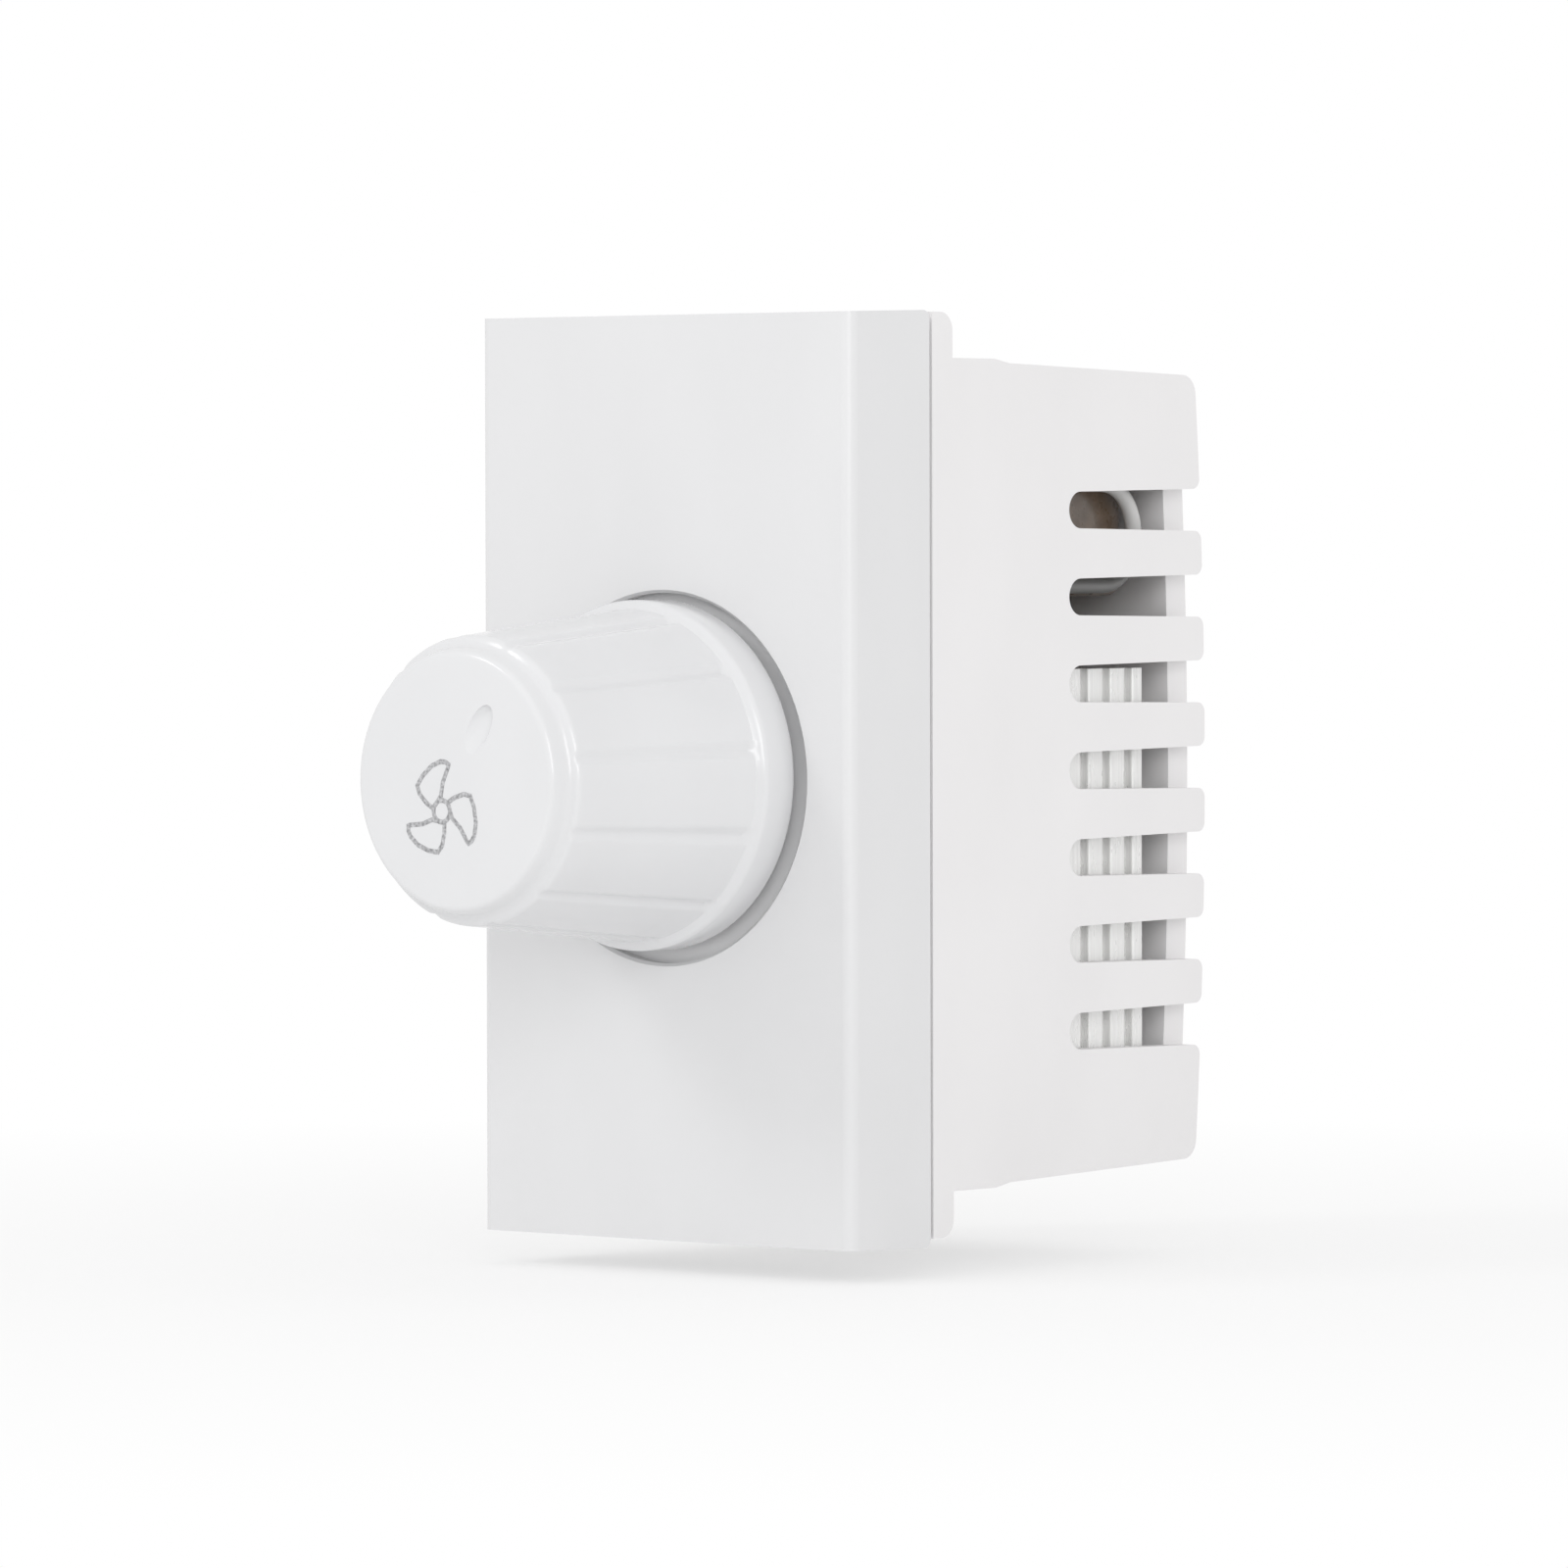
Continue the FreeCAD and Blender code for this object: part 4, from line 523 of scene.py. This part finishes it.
class FANSWITCH_OT_knob(bpy.types.Operator):
    """Model the hollow knob with its soft flutes, shoulder and pointer dent."""

    bl_idname = "fanswitch.knob"
    bl_label = "Knob"

    COLUMNS_PER_FLUTE = 40
    RIM_RINGS = 4
    COLLAR_RINGS = 5
    GRIP_RINGS = 8
    EDGE_RINGS = 6
    RIBS = 4
    # Fall of the collar's front edge, and distances of its foot and of the straight grip from the step,
    # in edge roundings.
    COLLAR_FALL = 0.55
    FOOT_PLACE = 1.2
    GRIP_START = 2.2
    # What the foot adds to the grip's radius.
    FOOT_SWELL = 0.02 * MM
    # Share of a groove's depth at the foot, and what it loses along the grip and at each ring of the crest.
    GROOVE_START = 0.2
    GROOVE_LOSS = 0.3
    CREST_LOSS = 0.11
    # Slope of the ledge from the crest to the band, and share of the band that each of its bends takes.
    LEDGE_SLOPE = 0.35
    BAND_BEND = 0.3
    # Widths of the face's rounded border and of the border with the plain ring inside it, in edge roundings.
    FACE_ROUND = 1.25
    FACE_BORDER = 4
    # A vertex this close to a ring's radius belongs to the ring.
    RING_GAP = 0.01 * MM
    # The share of the face's radius that holds the dent's rim.
    DENT_AREA = 0.8

    def execute(self, context):
        sizes = context.scene.fan_switch_knob
        rim, front = KNOB_HIGH.y, KNOB_LOW.y
        inner = front + sizes.front_wall
        columns = self.COLUMNS_PER_FLUTE * max(1, sizes.flutes)
        rest_selection()
        bpy.ops.mesh.primitive_circle_add(
            vertices=columns, radius=sizes.bore_radius, location=(0, inner, 0), rotation=(pi / 2, 0, 0)
        )
        knob = settle("knob_moulding")
        bpy.ops.mesh.select_all(action="SELECT")
        bpy.ops.mesh.edge_face_add()
        pick(knob, "EDGE", lambda edge: True)
        last_radius, last_y = sizes.bore_radius, inner
        grooved = []
        for radius, y, share in self.rings(sizes, rim, front, inner):
            bpy.ops.mesh.extrude_edges_move(TRANSFORM_OT_translate={"value": (0, y - last_y, 0)})
            scale = radius / last_radius
            bpy.ops.transform.resize(value=(scale, 1, scale), center_override=(0, y, 0))
            last_radius, last_y = radius, y
            if share:
                grooved.append((radius, y, share))
        bpy.ops.mesh.edge_face_add()
        for ring in grooved:
            self.sink_flutes(knob, sizes, ring, columns)
        close_up(knob)
        self.stiffen(knob, sizes, inner, rim - sizes.boss_end)
        self.dent(context, knob, front)
        stand_for(knob, "knob", "knob")
        return {"FINISHED"}

    def rings(self, sizes, rim, front, inner):
        """Radius, place and groove share of each ring, from the bore round the skirt to the face."""
        step = rim - sizes.collar_length
        rows = self.hollow_rings(sizes, rim, inner)
        rows += self.collar_rings(sizes, rim, step)
        rows += self.grip_rings(sizes, step, front + sizes.shoulder)
        crest_end = rows[-1][:2]
        return rows + self.shoulder_rings(sizes, crest_end, front)

    def hollow_rings(self, sizes, rim, inner):
        """Rings of the bore, the boss and the inside of the skirt."""
        boss_end = rim - sizes.boss_end
        return [
            (sizes.bore_radius, boss_end, 0),
            (sizes.boss_radius, boss_end, 0),
            (sizes.boss_radius, inner, 0),
            (sizes.grip_front_radius - sizes.wall, inner, 0),
            (sizes.collar_radius - sizes.wall, rim, 0),
        ]

    def collar_rings(self, sizes, rim, step):
        """Rings of the plain collar, from its rim to its step down to the grip."""
        edge, radius = sizes.edge, sizes.collar_radius
        rows = self.bend((radius - edge, rim), (radius, rim), (radius, rim - edge), self.RIM_RINGS)
        end = (radius - edge, step - edge * self.COLLAR_FALL)
        return rows + self.bend((radius, step + edge), (radius, step), end, self.COLLAR_RINGS)

    def grip_rings(self, sizes, step, crest_y):
        """Rings of the fluted grip, from the collar's step over the crest."""
        edge = sizes.edge
        taper = (sizes.grip_rear_radius - sizes.grip_front_radius) / (step - crest_y)
        foot_y = step - edge * self.FOOT_PLACE
        rows = [(sizes.grip_rear_radius + self.FOOT_SWELL, foot_y, self.GROOVE_START)]
        first, last = step - edge * self.GRIP_START, crest_y + edge
        for row in range(self.GRIP_RINGS):
            share = row / (self.GRIP_RINGS - 1)
            y = first + (last - first) * share
            radius = sizes.grip_front_radius + taper * (y - crest_y)
            rows.append((radius, y, 1.0 - self.GROOVE_LOSS * share))
        crest = (sizes.grip_front_radius, crest_y)
        start = (sizes.grip_front_radius + taper * edge, last)
        end = (sizes.grip_front_radius - edge, crest_y - edge * self.LEDGE_SLOPE)
        over_crest = self.bend(start, crest, end, self.EDGE_RINGS)[1:]
        for turn, (radius, y, _) in enumerate(over_crest):
            rows.append((radius, y, 1.0 - self.GROOVE_LOSS - self.CREST_LOSS * turn))
        return rows

    def shoulder_rings(self, sizes, crest_end, front):
        """Rings of the stepped shoulder, from the crest's end to the flat face."""
        edge = sizes.edge
        radius, y = crest_end
        foot = (sizes.band_radius, y - (radius - sizes.band_radius) * self.LEDGE_SLOPE)
        face = (sizes.face_radius, front)
        band_start = self.between(foot, face, self.BAND_BEND)
        band_end = self.between(foot, face, 1 - self.BAND_BEND)
        rows = self.bend(crest_end, foot, band_start, self.EDGE_RINGS)[1:]
        rows += self.bend(band_end, face, (face[0] - edge * self.FACE_ROUND, front), self.EDGE_RINGS)
        rows.append((face[0] - edge * self.FACE_BORDER, front, 0))
        return rows

    def between(self, start, end, share):
        """The place a share of the way from start to end."""
        return tuple(a + (b - a) * share for a, b in zip(start, end))

    def bend(self, start, corner, end, count):
        """Plain rings round an edge, from start to end, drawn towards the corner."""
        rows = []
        for step in range(count + 1):
            share = step / count
            towards = self.between(start, corner, share)
            away = self.between(corner, end, share)
            rows.append((*self.between(towards, away, share), 0))
        return rows

    def sink_flutes(self, knob, sizes, ring, columns):
        """Draw the columns of every groove in towards the axis at one ring."""
        if not sizes.flutes:
            return
        radius, y, share = ring
        pitch = 2 * pi / sizes.flutes
        column = 2 * pi / columns
        reach = int(sizes.flute_half / radius / column)
        for offset in range(reach + 1):
            depth = sizes.flute_depth * share * cos(pi / 2 * offset / (reach + 1)) ** 2

            def in_groove(vertex):
                x, own_y, z = vertex.co
                if abs(own_y - y) > SAME_PLACE or abs(hypot(x, z) - radius) > self.RING_GAP:
                    return False
                turn = (atan2(z, x) - sizes.flute_turn + pitch / 2) % pitch - pitch / 2
                return round(abs(turn) / column) == offset

            pick(knob, "VERT", in_groove)
            scale = (radius - depth) / radius
            bpy.ops.transform.resize(value=(scale, 1, scale), center_override=(0, y, 0))

    def stiffen(self, knob, sizes, inner, boss_end):
        """Join the ribs inside the skirt and the flat in the bore to the knob."""
        root = inner - sizes.front_wall / 2
        near = (sizes.boss_radius + sizes.bore_radius) / 2
        far = sizes.grip_front_radius - sizes.wall / 2
        rib_end = inner + sizes.rib_length
        for rib in range(self.RIBS):
            turn = rib * 2 * pi / self.RIBS
            self.join_block(knob, turn, (near, far), (root, rib_end), sizes.rib_thickness)
        flat_end = boss_end - sizes.edge
        flat = (sizes.flat, sizes.bore_radius)
        self.join_block(knob, pi / 2, flat, (root, flat_end), sizes.bore_radius * 2)

    def join_block(self, knob, turn, reach, along, width):
        """Join a block to the knob that reaches out from the axis, at an angle round it."""
        depth = reach[1] - reach[0]
        distance = reach[0] + depth / 2
        rest_selection()
        bpy.ops.mesh.primitive_cube_add(
            size=1.0,
            location=(distance * cos(turn), (along[0] + along[1]) / 2, distance * sin(turn)),
            rotation=(0, -turn, 0),
            scale=(depth, along[1] - along[0], width),
        )
        combine(knob, settle("knob_block"), "UNION")

    def dent(self, context, knob, front):
        """Press the pointer's shallow dent into the face."""
        mark = context.scene.fan_switch_mark
        turn, distance = mark.pointer_angle, mark.pointer_distance
        reach = mark.pointer_depth + mark.pointer_rise
        spread = 0.5 / sqrt(1 - (mark.pointer_rise / reach) ** 2)
        tilt = Matrix.Rotation(-turn, 3, "Y") @ Matrix.Rotation(mark.pointer_tilt, 3, "Z")
        rest_selection()
        bpy.ops.mesh.primitive_uv_sphere_add(
            segments=64,
            ring_count=48,
            radius=1.0,
            location=(distance * cos(turn), front - mark.pointer_rise, distance * sin(turn)),
            rotation=tilt.to_euler(),
            scale=(mark.pointer_length * spread, reach, mark.pointer_width * spread),
        )
        combine(knob, settle("pointer_tool"), "DIFFERENCE")
        inside = context.scene.fan_switch_knob.face_radius * self.DENT_AREA
        bpy.ops.object.mode_set(mode="EDIT")

        def on_rim(edge):
            return all(
                abs(vertex.co.y - front) < SAME_PLACE and hypot(vertex.co.x, vertex.co.z) < inside
                for vertex in edge.verts
            )

        pick(knob, "EDGE", on_rim)
        bpy.ops.mesh.mark_sharp()
        bpy.ops.object.mode_set(mode="OBJECT")
        bpy.ops.object.shade_smooth_by_angle(angle=radians(SMOOTH_ANGLE))


class FANSWITCH_OT_pictogram(bpy.types.Operator):
    """Print the three-bladed fan on the knob's face."""

    bl_idname = "fanswitch.pictogram"
    bl_label = "Pictogram"

    BLADES = 3
    # Corners of the upper blade, across and up from the hub, in millimetres.
    BLADE = [
        (0.0, 0.74), (0.115, 1.34), (0.425, 1.99), (0.46, 2.17), (0.19, 2.32), (-0.12, 2.34),
        (-0.66, 2.14), (-1.2, 1.70), (-1.55, 1.22), (-1.40, 0.80), (-0.97, 0.39), (-0.51, 0.12),
    ]
    # Middle of that blade, and how much the blade is enlarged about it.
    BLADE_MIDDLE = (-0.45, 0.0, 1.35)
    BLADE_SCALE = 1.12
    # Depth of the printed layer over the ink's thickness, because the layer starts inside the face.
    LAYER = 1.2

    def execute(self, context):
        mark = context.scene.fan_switch_mark
        hub = Vector((mark.hub[0], KNOB_LOW.y + mark.ink / 2, mark.hub[1]))
        ring = hub - Vector((0, mark.ink / 4, 0))
        rest_selection()
        bpy.ops.mesh.primitive_circle_add(
            vertices=len(self.BLADE), radius=MM, fill_type="NGON", location=hub, rotation=(pi / 2, 0, 0)
        )
        print_piece = settle("fan_pictogram")
        self.draw_blade(print_piece, hub)
        self.outline(print_piece, mark.line)
        bpy.ops.mesh.select_all(action="SELECT")
        bpy.ops.mesh.subdivide(number_cuts=2, smoothness=1.0)
        blade = len(bmesh.from_edit_mesh(print_piece.data).verts)
        for turn in range(1, self.BLADES):
            pick(print_piece, "VERT", lambda vertex: vertex.index < blade)
            bpy.ops.mesh.duplicate()
            bpy.ops.transform.rotate(
                value=radians(360 / self.BLADES * turn),
                orient_axis="Y",
                orient_type="GLOBAL",
                center_override=hub,
            )
        bpy.ops.mesh.primitive_circle_add(
            vertices=40, radius=mark.hub_radius, fill_type="NGON", location=ring, rotation=(pi / 2, 0, 0)
        )
        self.outline(print_piece, mark.line)
        pick(print_piece, "FACE", lambda face: True)
        bpy.ops.mesh.normals_make_consistent(inside=False)
        bpy.ops.mesh.extrude_region_move(TRANSFORM_OT_translate={"value": (0, -mark.ink * self.LAYER, 0)})
        close_up(print_piece)
        ink = mottled(
            "pictogram_ink", context.scene.fan_switch_colours.ink,
            change=0.5, size=0.16 * MM, rough=0.5, height=0.004 * MM,
        )
        hand_over(print_piece, "knob", ink)
        return {"FINISHED"}

    def draw_blade(self, piece, hub):
        """Move the corners of the open face to the upper blade's."""
        for index, (across, up) in enumerate(self.BLADE):
            pick(piece, "VERT", lambda vertex: vertex.index == index)
            mesh = bmesh.from_edit_mesh(piece.data)
            mesh.verts.ensure_lookup_table()
            goal = hub + Vector((across * MM, 0, up * MM))
            bpy.ops.transform.translate(value=goal - mesh.verts[index].co)
        bpy.ops.mesh.select_all(action="SELECT")
        bpy.ops.transform.resize(
            value=(self.BLADE_SCALE, 1, self.BLADE_SCALE),
            center_override=hub + Vector(self.BLADE_MIDDLE) * MM,
        )

    def outline(self, piece, width):
        """Turn the face with more than four corners into a line of even width."""
        pick(piece, "FACE", lambda face: len(face.verts) > 4)
        bpy.ops.mesh.inset(thickness=width, use_boundary=True)
        bpy.ops.mesh.delete(type="FACE")


class FANSWITCH_OT_heat_sink(bpy.types.Operator):
    """Model the heat sink with rounded fins."""

    bl_idname = "fanswitch.heat_sink"
    bl_label = "Heat sink"

    FIN_SMOOTH_ANGLE = 40

    def execute(self, context):
        sizes = context.scene.fan_switch_inside
        low, high = SINK_LOW, SINK_HIGH
        rest_selection()
        bpy.ops.mesh.primitive_plane_add(size=MM, location=low)
        sink = settle("heat_sink_extrusion")
        bpy.ops.mesh.select_mode(type="VERT")
        bpy.ops.mesh.select_all(action="SELECT")
        bpy.ops.mesh.merge(type="CENTER")
        here = low.xy
        for corner in self.section(sizes, low, high):
            bpy.ops.mesh.extrude_vertices_move(TRANSFORM_OT_translate={"value": (*(corner - here), 0)})
            here = corner
        bpy.ops.mesh.select_all(action="SELECT")
        bpy.ops.mesh.edge_face_add()
        bpy.ops.mesh.extrude_region_move(TRANSFORM_OT_translate={"value": (0, 0, high.z - low.z)})

        def is_tip(edge):
            one, other = (vertex.co for vertex in edge.verts)
            at_end = min(one.x, other.x) > high.x - SAME_PLACE
            upright = abs(one.z - other.z) > SAME_PLACE
            return at_end and upright

        pick(sink, "EDGE", is_tip)
        bpy.ops.mesh.bevel(offset=sizes.fin_round, segments=6, affect="EDGES")
        close_up(sink, self.FIN_SMOOTH_ANGLE)
        stand_for(sink, "module", "heat_sink")
        return {"FINISHED"}

    def section(self, sizes, low, high):
        """The other corners of the comb-shaped section, in order, from the base's front corner."""
        root = low.x + sizes.sink_base
        end = high.y - sizes.end_fin_thickness
        corners = [(low.x, high.y), (high.x, high.y), (high.x, end), (root, end)]
        for fin in range(1, int((end - low.y) / sizes.fin_spacing) + 1):
            front = end - sizes.fin_spacing * fin
            rear = front + sizes.fin_thickness
            corners += [(root, rear), (high.x, rear), (high.x, front), (root, front)]
        corners.append((root, low.y))
        return [Vector(corner) for corner in corners]


class FANSWITCH_OT_dipped_capacitor(bpy.types.Operator):
    """Model the soft dipped coat of the timing capacitor."""

    bl_idname = "fanswitch.dipped_capacitor"
    bl_label = "Dipped capacitor"

    COAT_SMOOTH_ANGLE = 60

    def execute(self, context):
        sizes = context.scene.fan_switch_inside
        rear = DIP_HIGH + Vector((0, sizes.dip_bead, 0))
        middle, span = (DIP_LOW + rear) / 2, rear - DIP_LOW
        rest_selection()
        bpy.ops.mesh.primitive_cube_add(size=1.0, location=middle, scale=span)
        coat = settle("timing_capacitor_coat")
        bpy.ops.mesh.select_all(action="SELECT")
        bpy.ops.mesh.bevel(offset=sizes.dip_round, segments=6, affect="EDGES")
        close_up(coat, self.COAT_SMOOTH_ANGLE)
        stand_for(coat, "module", "timing_capacitor")
        return {"FINISHED"}


class FANSWITCH_OT_choke(bpy.types.Operator):
    """Wind the choke's turns on its core."""

    bl_idname = "fanswitch.choke"
    bl_label = "Choke winding"

    WIRE_SMOOTH_ANGLE = 60

    def execute(self, context):
        sizes = context.scene.fan_switch_inside
        wire = sizes.wire_radius
        middle = (COIL_LOW + COIL_HIGH) / 2
        turns = int((COIL_HIGH.y - COIL_LOW.y) / (2 * wire))
        rest_selection()
        bpy.ops.mesh.primitive_torus_add(
            major_radius=(COIL_HIGH.x - COIL_LOW.x) / 2 - wire,
            minor_radius=wire - sizes.wire_gap / 2,
            major_segments=64,
            minor_segments=12,
            location=(middle.x, COIL_LOW.y + wire, middle.z),
            rotation=(pi / 2, 0, 0),
        )
        coil = settle("choke_turns")
        bpy.ops.mesh.select_all(action="SELECT")
        for _ in range(turns - 1):
            bpy.ops.mesh.duplicate_move(TRANSFORM_OT_translate={"value": (0, 2 * wire, 0)})
        close_up(coil, self.WIRE_SMOOTH_ANGLE)
        stand_for(coil, "module", "choke_winding")
        return {"FINISHED"}


class FANSWITCH_OT_stage(bpy.types.Operator):
    """Set the floor, the lamps, the room's light and the camera."""

    bl_idname = "fanswitch.stage"
    bl_label = "Stage"

    WHITE = (1, 1, 1, 1)
    # Width of the camera's sensor, in millimetres.
    SENSOR_WIDTH = 36.0
    CLIP_START = 20 * MM

    def execute(self, context):
        scene = context.scene
        stage = scene.fan_switch_stage
        scene.view_settings.view_transform = "Standard"
        self.floor(stage)
        self.room(scene, stage)
        self.lamp("key_lamp", stage.key, stage.key_place, stage.key_size)
        self.lamp("fill_lamp", stage.fill, stage.fill_place, stage.fill_size)
        self.camera(scene, stage)
        return {"FINISHED"}

    def floor(self, stage):
        """A round white floor under the switch that keeps its soft shadow."""
        height = cad_box[0][2] - stage.floor_gap
        rest_selection()
        bpy.ops.mesh.primitive_circle_add(
            vertices=96, radius=stage.floor_radius, fill_type="NGON", location=(0, 0, height)
        )
        floor = settle("studio_floor")
        bpy.ops.object.mode_set(mode="OBJECT")
        made = Finish("floor_white", Roughness=0.9, Specular_IOR_Level=0.0)
        made.tint(made.noise(30 * MM, detail=2.0), (0.92, 0.92, 0.92), change=0.005)
        glow = made.nodes.new("ShaderNodeEmission")
        distance = made.nodes.new("ShaderNodeVectorMath")
        distance.operation = "LENGTH"
        made.links.new(made.coordinates, distance.inputs[0])
        fade = made.spread(
            distance.outputs["Value"], stage.shadow_near, stage.shadow_far, stage.floor_glow, 1.0
        )
        seen = made.nodes.new("ShaderNodeMath")
        seen.operation = "MULTIPLY"
        made.links.new(fade, seen.inputs[0])
        made.links.new(self.direct_rays(made.nodes, made.links), seen.inputs[1])
        mix = made.nodes.new("ShaderNodeMixShader")
        made.links.new(seen.outputs[0], mix.inputs["Fac"])
        made.links.new(made.shader.outputs["BSDF"], mix.inputs[1])
        made.links.new(glow.outputs["Emission"], mix.inputs[2])
        made.links.new(mix.outputs["Shader"], made.nodes["Material Output"].inputs["Surface"])
        floor.data.materials.append(made.material)

    def direct_rays(self, nodes, links):
        """One for rays from the camera, a glossy surface or glass, and otherwise nought."""
        path = nodes.new("ShaderNodeLightPath")
        found = path.outputs["Is Camera Ray"]
        for kind in ("Is Glossy Ray", "Is Transmission Ray"):
            either = nodes.new("ShaderNodeMath")
            either.operation = "MAXIMUM"
            links.new(found, either.inputs[0])
            links.new(path.outputs[kind], either.inputs[1])
            found = either.outputs[0]
        return found

    def room(self, scene, stage):
        """Even studio light from all round, seen as white."""
        world = bpy.data.worlds.new("white_studio")
        scene.world = world
        world.use_nodes = True
        nodes, links = world.node_tree.nodes, world.node_tree.links
        light = nodes["Background"]
        light.inputs["Color"].default_value = self.WHITE
        light.inputs["Strength"].default_value = stage.room
        white = nodes.new("ShaderNodeBackground")
        white.inputs["Color"].default_value = self.WHITE
        white.inputs["Strength"].default_value = 1.0
        mix = nodes.new("ShaderNodeMixShader")
        links.new(self.direct_rays(nodes, links), mix.inputs["Fac"])
        links.new(light.outputs["Background"], mix.inputs[1])
        links.new(white.outputs["Background"], mix.inputs[2])
        links.new(mix.outputs["Shader"], nodes["World Output"].inputs["Surface"])

    def lamp(self, name, power, location, size):
        """A soft square lamp that looks at the origin."""
        rest_selection()
        aim = -Vector(location)
        rotation = aim.to_track_quat("-Z", "Y").to_euler()
        bpy.ops.object.light_add(type="AREA", location=location, rotation=rotation)
        lamp = bpy.context.active_object
        lamp.name = name
        lamp.data.energy = power
        lamp.data.size = size

    def camera(self, scene, stage):
        """The picture's camera, set from the plate's face."""
        back = Vector((
            sin(stage.azimuth) * cos(stage.elevation),
            -cos(stage.azimuth) * cos(stage.elevation),
            sin(stage.elevation),
        ))
        level = Vector((cos(stage.azimuth), sin(stage.azimuth), 0))
        upright = back.cross(level)
        right = level * cos(stage.roll) + upright * sin(stage.roll)
        up = upright * cos(stage.roll) - level * sin(stage.roll)
        location = Vector((0, FACE_Y, stage.target_height))
        location += right * stage.slide + up * stage.lift + back * stage.distance
        rotation = Matrix((right, up, back)).transposed().to_euler()
        rest_selection()
        bpy.ops.object.camera_add(location=location, rotation=rotation)
        camera = bpy.context.active_object
        camera.name = "picture_camera"
        camera.data.lens = stage.lens
        camera.data.sensor_width = self.SENSOR_WIDTH
        camera.data.clip_start = self.CLIP_START
        scene.camera = camera


class FANSWITCH_PT_dress(bpy.types.Panel):
    """Steps that dress the fan switch, in order."""

    bl_label = "Fan switch"
    bl_idname = "FANSWITCH_PT_dress"
    bl_space_type = "VIEW_3D"
    bl_region_type = "UI"
    bl_category = "Fan switch"

    def draw(self, context):
        for step in STEPS:
            self.layout.operator(step.bl_idname)


SETTINGS = {
    "fan_switch_knob": FanSwitchKnob,
    "fan_switch_mark": FanSwitchMark,
    "fan_switch_inside": FanSwitchInside,
    "fan_switch_colours": FanSwitchColours,
    "fan_switch_stage": FanSwitchStage,
}
STEPS = (
    FANSWITCH_OT_finishes,
    FANSWITCH_OT_knob,
    FANSWITCH_OT_pictogram,
    FANSWITCH_OT_heat_sink,
    FANSWITCH_OT_dipped_capacitor,
    FANSWITCH_OT_choke,
    FANSWITCH_OT_stage,
)


def register():
    """Register the settings, the steps and the panel."""
    for name, group in SETTINGS.items():
        bpy.utils.register_class(group)
        setattr(bpy.types.Scene, name, PointerProperty(type=group))
    for made in STEPS + (FANSWITCH_PT_dress,):
        bpy.utils.register_class(made)


def unregister():
    """Take the panel, the steps and the settings away again."""
    for made in reversed(STEPS + (FANSWITCH_PT_dress,)):
        bpy.utils.unregister_class(made)
    for name, group in reversed(SETTINGS.items()):
        delattr(bpy.types.Scene, name)
        bpy.utils.unregister_class(group)


def main():
    """Dress the switch, step by step."""
    register()
    bpy.ops.fanswitch.finishes()
    bpy.ops.fanswitch.knob()
    bpy.ops.fanswitch.pictogram()
    bpy.ops.fanswitch.heat_sink()
    bpy.ops.fanswitch.dipped_capacitor()
    bpy.ops.fanswitch.choke()
    bpy.ops.fanswitch.stage()


if __name__ == "__main__":
    main()
